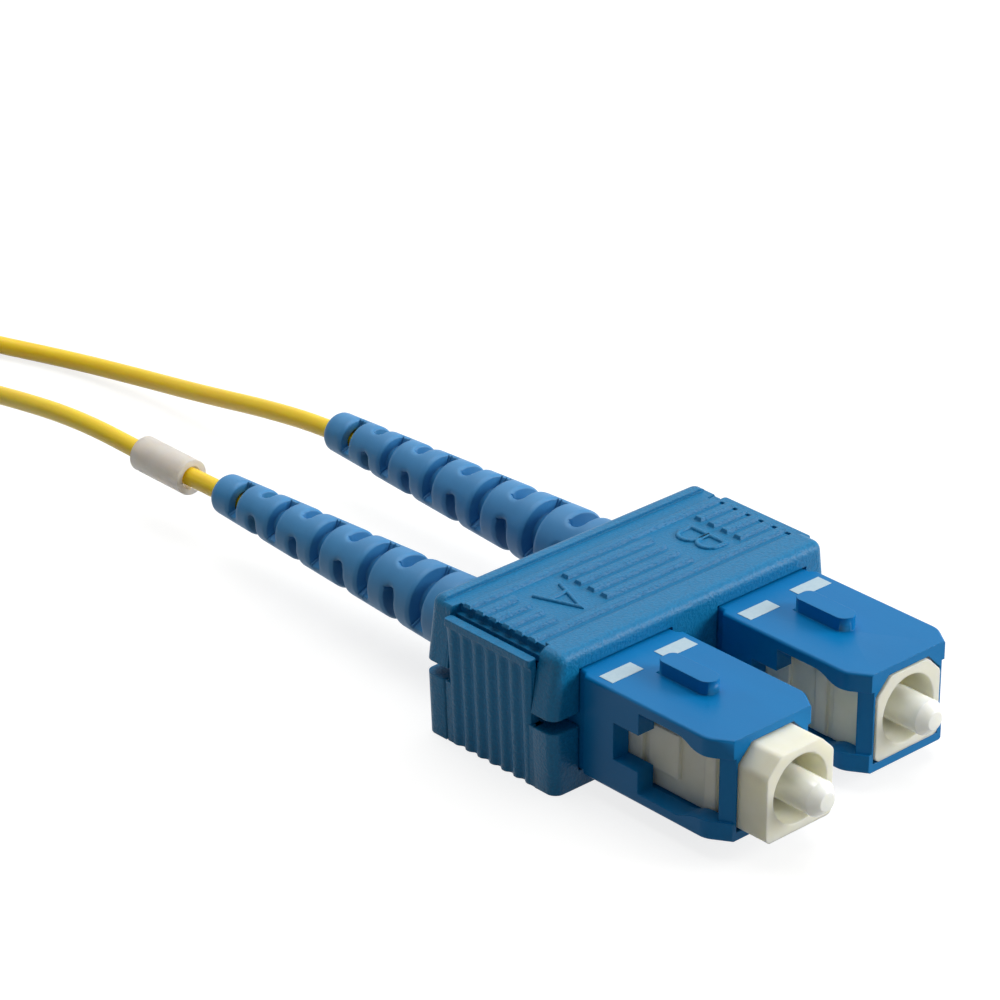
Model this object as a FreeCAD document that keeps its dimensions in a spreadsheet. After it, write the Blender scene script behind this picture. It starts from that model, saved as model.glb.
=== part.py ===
import FreeCAD, Part
import Sketcher
import math
import os
from types import SimpleNamespace
from FreeCAD import Placement, Rotation, Vector

# Duplex SC fibre connector: two push-pull plugs held side by side by a two-piece snap clip.
# Frame: ferrules point along -Y, plug A on the -X side, +Z up, the floor under the clip is Z = 0,
# and the origin is the middle of the clip's underside. All sizes are in millimetres.

SIZES = [
    # layout
    ("pitch", 12.7, "distance between the two plug axes"),
    ("axis_height", 5.07, "plug axes above the floor"),
    ("seat_gap", 0.1, "gap round a piece that is held still"),
    ("slide_gap", 0.1, "running gap round a piece that slides"),
    ("core_setback", 2.4, "how far plug B's core stands behind plug A's"),
    # grip housings
    ("grip_half_width", 4.5, "grip housing, half its width"),
    ("grip_half_height", 3.7, "grip housing, half its height"),
    ("grip_rear_gap", 0.15, "gap between a grip housing and the clip's rear wall"),
    ("grip_standout", 13.32, "grip housing in front of the clip"),
    ("nose_half_width", 3.5, "grip housing, half the width of its front face"),
    ("nose_length", 1.5, "length of the front corner's slope"),
    ("nose_round", 1.5, "rounding where the slope meets the side"),
    ("neck_half_width", 4.15, "half the width held by the clip"),
    ("neck_ahead", 0.77, "how far in front of the clip the housing starts to narrow"),
    ("neck_slope", 0.35, "length over which it narrows"),
    ("collar_length", 2.0, "length of the rear collar"),
    ("grip_edge", 0.2, "rounding of the housing's long edges"),
    ("window_front", 0.9, "front of the side window"),
    ("window_rear", 7.55, "rear of the side window"),
    ("window_low_half", 2.33, "half height of the window's front part"),
    ("window_high_half", 2.95, "half height of the window's rear part"),
    ("curve_start", 1.95, "where the window starts to widen"),
    ("curve_end", 4.25, "where it has widened"),
    ("slot_rear", 9.84, "rear of the latch slot behind the window"),
    ("slot_half_height", 1.35, "half height of the latch slot"),
    ("bar_inset", 0.25, "front bar set back from the sloped corner"),
    ("key_half_width", 0.785, "key rib, half its width"),
    ("key_front", 5.08, "front of the key rib"),
    ("key_rear", 9.76, "rear of the key rib"),
    ("key_height", 0.99, "height of the key rib"),
    # plug frames
    ("frame_half", 3.0, "plug frame, half its square section"),
    ("frame_chamfer", 1.2, "chamfer of its two upper corners"),
    ("frame_chamfer_round", 0.6, "rounding beside each chamfer"),
    ("frame_corner_round", 0.45, "rounding of its two lower corners"),
    ("frame_standout", 2.5, "plug A's frame in front of its housing"),
    ("frame_length", 17.0, "plug frame, front to rear"),
    ("frame_bore", 2.45, "radius of the front bore"),
    ("frame_bore_depth", 5.0, "depth of the front bore"),
    ("partition", 1.0, "thickness of the wall the flange rests on"),
    ("chamber", 2.1, "radius of the spring chamber"),
    ("flank_depth", 0.3, "depth of the grooves in the frame's sides"),
    ("groove_front", 3.9, "front of the narrow groove"),
    ("groove_rear", 4.55, "rear of the narrow groove"),
    ("recess_front", 5.55, "front of the latch recess"),
    ("block_front", 7.9, "front of the raised block"),
    ("block_rear", 10.6, "rear of the raised block"),
    ("block_half_height", 1.6, "half height of the raised block"),
    ("recess_rear", 11.2, "rear of the latch recess"),
    # ferrules, flanges and springs
    ("ferrule", 1.25, "ferrule radius"),
    ("ferrule_tip", 0.65, "radius of the ferrule's polished end"),
    ("ferrule_chamfer", 0.65, "length of the ferrule's lead-in cone"),
    ("ferrule_reach", 2.4, "ferrule in front of the plug frame"),
    ("ferrule_length", 10.5, "ferrule, end to end"),
    ("flange_head", 2.5, "length of the flange's head"),
    ("ferrule_free", 7.35, "length of the ferrule in front of its seat"),
    ("ferrule_seat", 1.05, "radius of the ferrule's seat in the flange"),
    ("flange_tube", 1.0, "radius of the flange's tail"),
    ("flange_length", 5.4, "flange, end to end"),
    ("stop_plug", 4.0, "how far the rear body stands in the frame"),
    ("spring_radius", 1.7, "spring, mean radius"),
    ("spring_wire", 0.22, "spring wire radius"),
    ("spring_turns", 4.0, "turns of the spring"),
    ("spring_seat", 0.05, "gap at each end of the spring"),
    ("buffer", 0.45, "radius of the buffered fibre"),
    ("buffer_short", 1.5, "how far the buffer ends before the barrel"),
    # rear body, crimp sleeve and boot
    ("stop_shoulder", 1.3, "thickness of the rear body's shoulder"),
    ("stop_shoulder_radius", 2.8, "radius of that shoulder"),
    ("stop_bore", 0.6, "bore of the rear body"),
    ("barrel", 1.45, "radius of the crimp barrel"),
    ("barrel_length", 5.7, "crimp barrel behind the rear body's shoulder"),
    ("crimp_wall", 0.35, "wall of the crimp sleeve"),
    ("crimp_fit", 0.05, "gap under the crimp sleeve"),
    ("crimp_gap", 0.3, "gap between the shoulder and the crimp sleeve"),
    ("crimp_over", 0.6, "crimp sleeve's wide part behind the barrel"),
    ("crimp_neck", 3.0, "length of the crimp sleeve's narrow part"),
    ("crimp_neck_wall", 0.25, "wall of its narrow part"),
    ("cable", 0.7, "cable radius"),
    ("boot_gap", 0.2, "gap between the shoulder and the boot"),
    ("boot_length", 38.7, "boot, end to end"),
    ("boot_radius", 2.75, "boot radius at its base"),
    ("boot_tip_radius", 1.53, "boot radius at its tip"),
    ("boot_straight", 13.0, "straight length of the boot"),
    ("boot_tip_round", 0.5, "rounding of the boot's tip"),
    ("boot_socket", 2.0, "bore over the crimp sleeve"),
    ("boot_socket_over", 0.6, "that bore behind the crimp sleeve"),
    ("boot_bore", 0.82, "bore at the tip"),
    ("boot_throat", 1.35, "bore behind the crimp sleeve"),
    ("boot_turn", 45.0, "turn of the long slots about the boot's axis, degrees"),
    ("slot_first", 2.65, "first long slot, from the tip"),
    ("slot_step", 4.55, "first step between long slots"),
    ("slot_growth", 0.42, "how much each step grows"),
    ("slot_width", 1.0, "width of the first slot"),
    ("slot_widening", 0.1, "how much each slot widens"),
    ("web_half", 0.62, "half width of the webs beside the long slots"),
    ("window_share", 0.42, "half width of a short slot over the boot's radius"),
    # clip
    ("clip_half_depth", 6.24, "clip, half its front-to-rear size"),
    ("clip_end", 2.06, "clip beyond the housing at each end, at the parting"),
    ("foot_draft", 0.23, "how much it narrows to the underside"),
    ("top_draft", 0.61, "how much it narrows to the top"),
    ("clip_height", 10.25, "clip, bottom to top"),
    ("part_low", 4.64, "top of the lower shell's rim"),
    ("part_high", 5.63, "lower edge of the upper shell"),
    ("clip_round", 0.75, "rounding of the clip's edges"),
    ("core_inset", 1.3, "how far the shells' tongue stands inside the rim"),
    ("rear_wall", 1.45, "thickness of the clip's rear wall"),
    ("boot_hole", 3.05, "radius of the boot's hole in the rear wall"),
    ("panel_half_top", 4.12, "latch panel, half its width at the top"),
    ("panel_half_foot", 3.75, "latch panel, half its width at the foot"),
    ("panel_centre", -0.11, "middle of the latch panel along the clip"),
    ("panel_wall", 0.68, "latch panel and its ribs at the foot"),
    ("panel_drop", 0.37, "top of the latch panel below the clip's"),
    ("panel_lean", 0.52, "how far its top leans outward"),
    ("panel_bar", 0.9, "height of the bar at its top"),
    ("panel_bar_round", 0.2, "rounding of that bar's edges"),
    ("panel_corner", 0.5, "rounding of the panel's upper corners"),
    ("panel_gap", 0.14, "gap beside the latch panel"),
    ("finger_rib", 0.38, "radius of the panel's ribs"),
    ("finger_pitch", 1.17, "pitch of the panel's ribs"),
    ("finger_count", 7, "ribs on each panel"),
    ("field_inset", 0.8, "ribbed field's end from the edge of the top"),
    ("latch_ledge", 0.36, "how far the catch ledge stands out"),
    ("ledge_top", 9.35, "top of the catch ledge"),
    ("ledge_height", 0.5, "thickness of the catch ledge"),
    ("hook_overlap", 0.2, "how far the hook reaches under the ledge"),
    ("hook_top", 8.6, "top of the panel's hook"),
    ("hook_height", 0.9, "height of the panel's hook"),
    ("field_front", -4.02, "front edge of the ribbed field"),
    ("field_rear", 5.05, "rear edge of the ribbed field"),
    ("field_depth", 0.26, "depth of the ribbed field"),
    ("rib_first", -2.95, "first rib of the field"),
    ("rib_pitch", 1.25, "pitch of the field's ribs"),
    ("rib_half", 0.36, "half width of a rib at its foot"),
    ("rib_crest", 0.24, "half width of a rib at its crest"),
    ("rib_head", 0.3, "how far the ribs run past the field"),
    ("side_group_inner", 8.45, "inner end of the outer short ribs"),
    ("mid_group_end", 4.1, "end of the middle short ribs"),
    # cables
    ("tube_start", 6.25, "how far inside the boot a free cable starts"),
    ("coil_turn", 8.4, "mean radius of a coil"),
    ("coil_low_half", 3.1, "half width of the bundle of turns at its foot"),
    ("coil_mid_half", 3.7, "half width of the bundle at its widest"),
    ("coil_high_half", 2.3, "half width of the bundle at its top"),
    ("coil_mid", 2.4, "height of its widest part"),
    ("coil_height", 5.9, "height of the bundle"),
    ("coil_exit", 10.6, "distance from a coil's middle to the far plug's axis"),
    ("coil_entry", 10.8, "distance from a coil's middle to the cable that enters it"),
    ("coil_overlap", 3.5, "how far a cable ends before a coil's middle"),
    ("stack_gap", 0.3, "gap between pieces laid on each other"),
    ("far_x", -27.6, "far plugs' axis across"),
    ("far_y", 48.0, "front of the far plug frames"),
    ("far_standout", 1.3, "far frames in front of their housings"),
    ("coil_behind", 13.0, "middle of the coils behind the far boots' tips"),
    ("sleeve_radius", 1.35, "marker sleeve, outer radius"),
    ("sleeve_bore", 0.88, "marker sleeve, bore radius"),
    ("sleeve_length", 5.5, "marker sleeve, length"),
    ("sleeve_y", 38.95, "front end of the marker sleeve"),
    ("sleeve_drop", 0.2, "marker sleeve's axis below the plug's"),
]


class Size:
    """A number together with the spreadsheet expression that gives it."""

    def __init__(self, number, text):
        self.number, self.text = float(number), text

    def __add__(self, other):
        other = as_size(other)
        return Size(self.number + other.number, f"({self.text} + {other.text})")

    def __sub__(self, other):
        other = as_size(other)
        return Size(self.number - other.number, f"({self.text} - {other.text})")

    def __mul__(self, other):
        other = as_size(other)
        return Size(self.number * other.number, f"({self.text} * {other.text})")

    def __truediv__(self, other):
        other = as_size(other)
        return Size(self.number / other.number, f"({self.text} / {other.text})")

    def __neg__(self):
        return Size(-self.number, f"(0 - {self.text})")

    __radd__, __rmul__ = __add__, __mul__

    def __rsub__(self, other):
        return as_size(other) - self


def as_size(value):
    return value if isinstance(value, Size) else Size(value, repr(float(value)))


doc = FreeCAD.newDocument("duplex_sc_connector")
sheet = doc.addObject("Spreadsheet::Sheet", "dims")
for row, (alias, amount, meaning) in enumerate(SIZES, start=1):
    sheet.set(f"A{row}", meaning)
    sheet.set(f"B{row}", str(amount))
    sheet.setAlias(f"B{row}", alias)
doc.recompute()
d = SimpleNamespace(**{alias: Size(sheet.get(alias), f"dims.{alias}") for alias, _, _ in SIZES})

# Sizes that follow from others.
d.grip_length = d.grip_standout + d.clip_half_depth * 2 - d.rear_wall - d.grip_rear_gap
d.collar_start = d.grip_length - d.collar_length
d.neck_start = d.grip_standout - d.neck_ahead
d.stop_front = d.frame_length - d.stop_plug
d.shoulder_rear = d.frame_length + d.stop_shoulder
d.barrel_end = d.shoulder_rear + d.barrel_length
d.buffer_end = d.barrel_end - d.buffer_short
d.crimp_front = d.shoulder_rear + d.crimp_gap
d.crimp_step = d.barrel_end + d.crimp_over
d.crimp_end = d.crimp_step + d.crimp_neck
d.boot_front = d.shoulder_rear + d.boot_gap
d.boot_tip = d.boot_front + d.boot_length
d.boot_taper_start = d.boot_front + d.boot_straight
d.boot_socket_end = d.crimp_end + d.boot_socket_over
d.clip_part_half = d.pitch / 2 + d.grip_half_width + d.clip_end
d.clip_foot_half = d.clip_part_half - d.foot_draft
d.clip_top_half = d.clip_part_half - d.top_draft
d.field_half = d.clip_top_half - d.field_inset
d.panel_inner = d.clip_foot_half - d.panel_wall
d.panel_top = d.clip_height - d.panel_drop
d.coil_y = d.far_y + d.boot_tip + d.coil_behind

PIECES = []


def keep(obj, label):
    """Labels a finished sub-part and lists it for export."""
    obj.Label = label
    PIECES.append(obj)
    return obj


def bind(obj, path, size):
    obj.setExpression(path, as_size(size).text)


def place(obj, x, y, z):
    x, y, z = as_size(x), as_size(y), as_size(z)
    obj.Placement = Placement(Vector(x.number, y.number, z.number), obj.Placement.Rotation)
    for axis, size in zip("xyz", (x, y, z)):
        bind(obj, f"Placement.Base.{axis}", size)
    return obj


def new_body(label):
    body = doc.addObject("PartDesign::Body", label)
    return keep(body, label)


def new_sketch(body, role, name, lift=0, turn=0):
    """A sketch on one of the body's origin planes, lifted along its normal, turned about its upright."""
    sketch = body.newObject("Sketcher::SketchObject", f"{body.Label}_{name}")
    plane = next(f for f in body.Origin.OriginFeatures if f.Role == role)
    sketch.AttachmentSupport = [(plane, "")]
    sketch.MapMode = "FlatFace"
    lift, turn = as_size(lift), as_size(turn)
    spin = Rotation(Vector(0, 1, 0), turn.number)
    sketch.AttachmentOffset = Placement(spin.multVec(Vector(0, 0, lift.number)), spin)
    for axis, share in (("x", "sin"), ("z", "cos")):
        sketch.setExpression(f"AttachmentOffset.Base.{axis}", f"{lift.text} * {share}({turn.text} * 1deg)")
    return sketch


def outline(sketch, corners):
    """A closed outline; a corner is (x, y), or (x, y, radius, way) where an arc ends there."""
    spots = [Vector(as_size(c[0]).number, as_size(c[1]).number, 0) for c in corners]
    ends = []
    for i, corner in enumerate(corners):
        start, end = spots[i - 1], spots[i]
        if len(corner) == 2:
            ends.append((sketch.addGeometry(Part.LineSegment(start, end)), 1, 2))
            continue
        radius, way = as_size(corner[2]), corner[3]
        half = (end - start) * 0.5
        rise = math.sqrt(max(radius.number**2 - half.Length**2, 0))
        side = Vector(-half.y, half.x, 0).normalize() * rise * way
        centre = start + half + side
        circle = Part.Circle(centre, Vector(0, 0, 1), radius.number)
        first, last = (start, end) if way > 0 else (end, start)
        arc = Part.ArcOfCircle(circle, circle.parameter(first), circle.parameter(last))
        index = sketch.addGeometry(arc)
        ends.append((index, 1, 2) if way > 0 else (index, 2, 1))
        number = sketch.addConstraint(Sketcher.Constraint("Radius", index, radius.number))
        bind(sketch, f"Constraints[{number}]", radius)
    for i, (index, _, stop) in enumerate(ends):
        follower, begin, _ = ends[(i + 1) % len(ends)]
        sketch.addConstraint(Sketcher.Constraint("Coincident", index, stop, follower, begin))
        pin_point(sketch, index, stop, corners[i][0], corners[i][1])
    return sketch


def pin_point(sketch, index, spot, x, y):
    for kind, size in (("DistanceX", as_size(x)), ("DistanceY", as_size(y))):
        rule = Sketcher.Constraint(kind, -1, 1, index, spot, size.number)
        bind(sketch, f"Constraints[{sketch.addConstraint(rule)}]", size)


def disc(sketch, x, y, radius):
    x, y, radius = as_size(x), as_size(y), as_size(radius)
    circle = Part.Circle(Vector(x.number, y.number, 0), Vector(0, 0, 1), radius.number)
    index = sketch.addGeometry(circle)
    bind(sketch, f"Constraints[{sketch.addConstraint(Sketcher.Constraint('Radius', index, radius.number))}]",
         radius)
    pin_point(sketch, index, 3, x, y)
    return sketch


def rectangle(sketch, left, low, right, high):
    return outline(sketch, [(left, low), (right, low), (right, high), (left, high)])


def feature(body, kind, sketch, **settings):
    """A PartDesign feature on a sketch, checked to have changed the body the right way."""
    before = body.Shape.Volume if body.Tip else 0.0
    made = body.newObject(f"PartDesign::{kind}", f"{sketch.Name}_{kind.lower()}")
    made.Profile = sketch
    sketch.Visibility = False
    for name, value in settings.items():
        if isinstance(value, Size):
            bind(made, name, value)
        else:
            setattr(made, name, value)
    doc.recompute()
    grown = body.Shape.Volume - before
    wanted = 1 if kind in ("Pad", "Revolution") else -1
    if grown * wanted <= 0:
        raise RuntimeError(f"{made.Name} changed {body.Label} by {grown:.3f} mm3")
    return made


def revolved(label, corners):
    """A body turned about its own Y axis from a profile of (radius, y) corners."""
    body = new_body(label)
    sketch = outline(new_sketch(body, "XY_Plane", "profile"), corners)
    feature(body, "Revolution", sketch, ReferenceAxis=(sketch, ["V_Axis"]), Angle=360.0)
    return body


def rounded(body, radius, chosen, what):
    """Fillets the edges of the body for which chosen(edge) is true."""
    base = body.Tip
    names = [f"Edge{i}" for i, e in enumerate(base.Shape.Edges, start=1) if chosen(e)]
    if not names:
        raise RuntimeError(f"no edge to round on {body.Label} for {what}")
    fillet = body.newObject("PartDesign::Fillet", f"{body.Label}_{what}")
    fillet.Base = (base, names)
    bind(fillet, "Radius", radius)
    doc.recompute()
    return fillet


def runs_along(edge, axis):
    """True for a straight edge along the named axis."""
    if edge.Curve.TypeId != "Part::GeomLine":
        return False
    way = edge.Curve.Direction
    return abs(getattr(way, axis)) > 0.999


def near(value, size, within=0.01):
    return abs(value - as_size(size).number) < within


# ---------------------------------------------------------------- plugs
def grip_housing(label):
    """The sleeve that the fingers or the clip push and pull; local y = 0 is its front face."""
    body = new_body(label)
    plan = [
        (-d.nose_half_width, 0), (d.nose_half_width, 0), (d.grip_half_width, d.nose_length),
        (d.grip_half_width, d.neck_start), (d.neck_half_width, d.neck_start + d.neck_slope),
        (d.neck_half_width, d.collar_start), (d.grip_half_width, d.collar_start),
        (d.grip_half_width, d.grip_length), (-d.grip_half_width, d.grip_length),
        (-d.grip_half_width, d.collar_start), (-d.neck_half_width, d.collar_start),
        (-d.neck_half_width, d.neck_start + d.neck_slope), (-d.grip_half_width, d.neck_start),
        (-d.grip_half_width, d.nose_length),
    ]
    sketch = outline(new_sketch(body, "XY_Plane", "plan"), plan)
    feature(body, "Pad", sketch, Length=d.grip_half_height * 2, Midplane=True)
    rounded(body, d.nose_round,
            lambda e: runs_along(e, "z") and near(e.CenterOfMass.y, d.nose_length), "corners")
    half = d.frame_half + d.slide_gap
    rounded(body, d.grip_edge, lambda e: near(abs(e.CenterOfMass.z), d.grip_half_height)
            and 0.01 < e.CenterOfMass.y < d.grip_length.number - 0.01, "long_edges")
    sketch = outline(new_sketch(body, "XZ_Plane", "bore"), square_section(half))
    feature(body, "Pocket", sketch, Type="ThroughAll", Midplane=True)
    side_window(body)
    front_bars(body)
    sketch = new_sketch(body, "XY_Plane", "key", lift=half)
    wide, front = d.key_half_width, d.key_front + d.key_half_width
    outline(sketch, [(-wide, front), (0, d.key_front, wide, 1), (wide, front, wide, 1),
                     (wide, d.key_rear), (-wide, d.key_rear)])
    feature(body, "Pad", sketch, Length=d.grip_half_height + d.key_height - half)
    return body


def square_section(half):
    """The plug's keyed section: a square with its two upper corners cut off."""
    cut = half - d.frame_chamfer
    return [(-half, -half), (half, -half), (half, cut), (cut, half), (-cut, half), (-half, cut)]


def side_window(body):
    """The opening in both sides: low at the front, widened by an S-curve, with a latch slot behind."""
    run = (d.curve_end - d.curve_start) / 2
    rise = (d.window_high_half - d.window_low_half) / 2
    bend = (run * run + rise * rise) / (rise * 2)
    middle, level = d.curve_start + run, d.window_low_half + rise
    low, high, slot = d.window_low_half, d.window_high_half, d.slot_half_height
    side = [
        (d.window_front, -low), (d.curve_start, -low), (middle, -level, bend, -1),
        (d.curve_end, -high, bend, 1), (d.window_rear, -high), (d.window_rear, -slot),
        (d.slot_rear, -slot), (d.slot_rear, slot), (d.window_rear, slot), (d.window_rear, high),
        (d.curve_end, high), (middle, level, bend, 1), (d.curve_start, low, bend, -1),
        (d.window_front, low),
    ]
    sketch = outline(new_sketch(body, "YZ_Plane", "window"), side)
    feature(body, "Pocket", sketch, Type="ThroughAll", Midplane=True)


def front_bars(body):
    """Sets the upright bar in front of each window back from the sloped corner."""
    slope = (d.grip_half_width - d.nose_half_width) / d.nose_length
    inner = d.nose_half_width - d.bar_inset
    outer = inner + slope * d.window_front
    beyond = d.grip_half_width + 1
    sketch = new_sketch(body, "XY_Plane", "bars")
    for way in (1, -1):
        outline(sketch, [(inner * way, 0), (outer * way, d.window_front),
                         (beyond * way, d.window_front), (beyond * way, 0)])
    feature(body, "Pocket", sketch, Length=d.window_low_half * 2, Midplane=True)


def plug_frame(label):
    """The inner housing that snaps into the adapter; local y = 0 is its front face."""
    body = new_body(label)
    sketch = outline(new_sketch(body, "XZ_Plane", "section"), square_section(d.frame_half))
    feature(body, "Pad", sketch, Length=d.frame_length, Reversed=True)
    rounded(body, d.frame_corner_round,
            lambda e: runs_along(e, "y") and near(e.CenterOfMass.z, -d.frame_half), "lower")
    rounded(body, d.frame_chamfer_round,
            lambda e: runs_along(e, "y") and e.CenterOfMass.z > 0, "upper")
    deep = d.frame_bore_depth
    sketch = new_sketch(body, "XY_Plane", "bores")
    outline(sketch, [
        (0, 0), (d.frame_bore, 0), (d.frame_bore, deep), (d.ferrule + d.slide_gap, deep),
        (d.ferrule + d.slide_gap, deep + d.partition), (d.chamber, deep + d.partition),
        (d.chamber, d.frame_length), (0, d.frame_length)])
    feature(body, "Groove", sketch, ReferenceAxis=(sketch, ["V_Axis"]), Angle=360.0)
    flank = d.frame_half - d.flank_depth
    tall = d.frame_half + 1
    for way, name in ((1, "right"), (-1, "left")):
        sketch = new_sketch(body, "YZ_Plane", f"flank_{name}", lift=flank * way)
        rectangle(sketch, d.groove_front, -tall, d.groove_rear, tall)
        rectangle(sketch, d.recess_front, -tall, d.recess_rear, tall)
        rectangle(sketch, d.block_front, -d.block_half_height, d.block_rear, d.block_half_height)
        feature(body, "Pocket", sketch, Type="ThroughAll", Reversed=way > 0)
    return body


def far_frame(label):
    """A plug frame seen only from outside: the same shell, closed behind its front bore."""
    body = new_body(label)
    sketch = outline(new_sketch(body, "XZ_Plane", "section"), square_section(d.frame_half))
    feature(body, "Pad", sketch, Length=d.frame_length, Reversed=True)
    sketch = disc(new_sketch(body, "XZ_Plane", "bore"), 0, 0, d.frame_bore)
    feature(body, "Pocket", sketch, Length=d.frame_bore_depth)
    return body


def ferrule(label, length):
    """The ceramic pin: a lead-in cone, the free stretch and the seat that the flange holds."""
    tip = -d.ferrule_reach
    profile = [(0, tip), (d.ferrule_tip, tip), (d.ferrule, tip + d.ferrule_chamfer)]
    if length.number > d.ferrule_free.number:
        step = tip + d.ferrule_free
        profile += [(d.ferrule, step), (d.ferrule_seat, step), (d.ferrule_seat, tip + length)]
    else:
        profile.append((d.ferrule, tip + length))
    return revolved(label, profile + [(0, tip + length)])


def ferrule_flange(label):
    """The collar pressed on the ferrule's rear; its head rests on the frame's partition."""
    head = d.frame_bore_depth + d.partition
    ferrule_end = d.ferrule_length - d.ferrule_reach
    return revolved(label, [
        (d.ferrule_seat, head), (d.chamber - d.slide_gap, head),
        (d.chamber - d.slide_gap, head + d.flange_head), (d.flange_tube, head + d.flange_head),
        (d.flange_tube, head + d.flange_length), (d.buffer, head + d.flange_length),
        (d.buffer, ferrule_end), (d.ferrule_seat, ferrule_end)])


def buffered_fibre(label):
    ferrule_end = d.ferrule_length - d.ferrule_reach
    return revolved(label, [(0, ferrule_end), (d.buffer, ferrule_end),
                            (d.buffer, d.buffer_end), (0, d.buffer_end)])


def spring_front():
    return d.frame_bore_depth + d.partition + d.flange_head + d.spring_seat + d.spring_wire


def spring(label):
    """The coil spring between the flange and the rear body, its wire given four flat sides."""
    height = (d.stop_front - d.spring_seat - d.spring_wire - spring_front()).number
    helix = Part.makeHelix(height / d.spring_turns.number, height, d.spring_radius.number)
    corners = []
    for step in range(5):
        angle = math.radians(90 * step)
        corners.append(Vector(d.spring_radius.number + d.spring_wire.number * math.cos(angle), 0,
                              d.spring_wire.number * math.sin(angle)))
    sweep = Part.Wire(helix.Edges).makePipeShell([Part.makePolygon(corners)], True, True)
    sweep.rotate(Vector(), Vector(1, 0, 0), -90)
    piece = doc.addObject("Part::Feature", label)
    piece.Shape = sweep
    return keep(piece, label)


def rear_body(label):
    """The stop that closes the frame and carries the crimp barrel."""
    plug = d.chamber - d.crimp_fit
    return revolved(label, [
        (d.stop_bore, d.stop_front), (plug, d.stop_front), (plug, d.frame_length),
        (d.stop_shoulder_radius, d.frame_length), (d.stop_shoulder_radius, d.shoulder_rear),
        (d.barrel, d.shoulder_rear),
        (d.barrel, d.barrel_end), (d.stop_bore, d.barrel_end)])


def crimp_sleeve(label):
    """The two-step sleeve that crimps the cable's yarn on the barrel and its jacket behind it."""
    bore = d.barrel + d.crimp_fit
    neck = d.cable + d.crimp_fit
    return revolved(label, [
        (bore, d.crimp_front), (bore + d.crimp_wall, d.crimp_front),
        (bore + d.crimp_wall, d.crimp_step),
        (neck + d.crimp_neck_wall, d.crimp_step + d.crimp_wall),
        (neck + d.crimp_neck_wall, d.crimp_end), (neck, d.crimp_end), (neck, d.crimp_step),
        (bore, d.crimp_step - d.crimp_wall)])


def boot(label):
    """The slotted strain-relief boot: long slots that leave two webs, short ones turned between."""
    tip = d.boot_tip
    body = revolved(label, [
        (d.boot_socket, d.boot_front), (d.boot_radius, d.boot_front),
        (d.boot_radius, d.boot_taper_start),
        (d.boot_tip_radius, tip - d.boot_tip_round),
        (d.boot_tip_radius - d.boot_tip_round, tip, d.boot_tip_round, 1),
        (d.boot_bore, tip), (d.boot_throat, d.boot_socket_end + 1),
        (d.boot_socket, d.boot_socket_end)])
    slope = (d.boot_radius - d.boot_tip_radius) / (tip - d.boot_tip_round - d.boot_taper_start)
    beyond = d.boot_radius + 1
    long_slots, short_slots = [], []
    place_y, step = tip - d.slot_first, d.slot_step
    for number in range(5):
        half = (d.slot_width + d.slot_widening * number) / 2
        long_slots.append((-beyond, place_y - half, beyond, place_y + half))
        between = place_y - step / 2
        radius = d.boot_tip_radius + slope * (tip - d.boot_tip_round - between)
        wide = radius * d.window_share
        if number < 4:
            short_slots.append((-wide, between - half, wide, between + half))
        place_y, step = place_y - step, step + d.slot_growth
    for way, name in ((1, "over"), (-1, "under")):
        sketch = new_sketch(body, "XY_Plane", f"long_{name}", d.web_half * way, -d.boot_turn)
        for box in long_slots:
            rectangle(sketch, *box)
        feature(body, "Pocket", sketch, Length=beyond, Reversed=way > 0)
    for turn, name in ((45, "one"), (-45, "two")):
        sketch = new_sketch(body, "XY_Plane", f"short_{name}", turn=turn - d.boot_turn)
        for box in short_slots:
            rectangle(sketch, *box)
        feature(body, "Pocket", sketch, Type="ThroughAll", Midplane=True)
    return body


def far_boot(label):
    """A boot seen only from outside, left without slots, with a blind bore for the cable."""
    tip, seat = d.boot_tip, d.boot_tip - d.tube_start
    return revolved(label, [
        (0, d.frame_length), (d.boot_radius, d.frame_length), (d.boot_radius, d.boot_taper_start),
        (d.boot_tip_radius, tip), (d.boot_bore, tip), (d.boot_bore, seat), (0, seat)])


def cable_end(label):
    """The cable's jacket inside the boot, from the crimp barrel to where the free cable starts."""
    front, rear = d.crimp_step, d.boot_tip - d.tube_start
    return revolved(label, [(0, front), (d.cable, front), (d.cable, rear), (0, rear)])


# ---------------------------------------------------------------- cables
def tube(label, points):
    """A plain cable of straight runs joined by tangent arcs."""
    spots = [Vector(*(as_size(v).number for v in p)) for p in points]
    edges, here = [], spots[0]
    for before, corner, after in zip(spots, spots[1:], spots[2:]):
        to, away = corner - before, after - corner
        turn = to.getAngle(away)
        reach = 0.45 * min(to.Length, away.Length)
        start = corner - to.normalize() * reach
        end = corner + away.normalize() * reach
        radius = reach / math.tan(turn / 2)
        inward = (end + start) * 0.5 - corner
        middle = corner + inward.normalize() * (radius / math.cos(turn / 2) - radius)
        edges += [Part.LineSegment(here, start).toShape(), Part.Arc(start, middle, end).toShape()]
        here = end
    edges.append(Part.LineSegment(here, spots[-1]).toShape())
    ring = Part.Circle(spots[0], spots[1] - spots[0], d.cable.number).toShape()
    piece = doc.addObject("Part::Feature", label)
    piece.Shape = Part.Wire(edges).makePipeShell([Part.Wire(ring)], True, True)
    return keep(piece, label)


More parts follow.
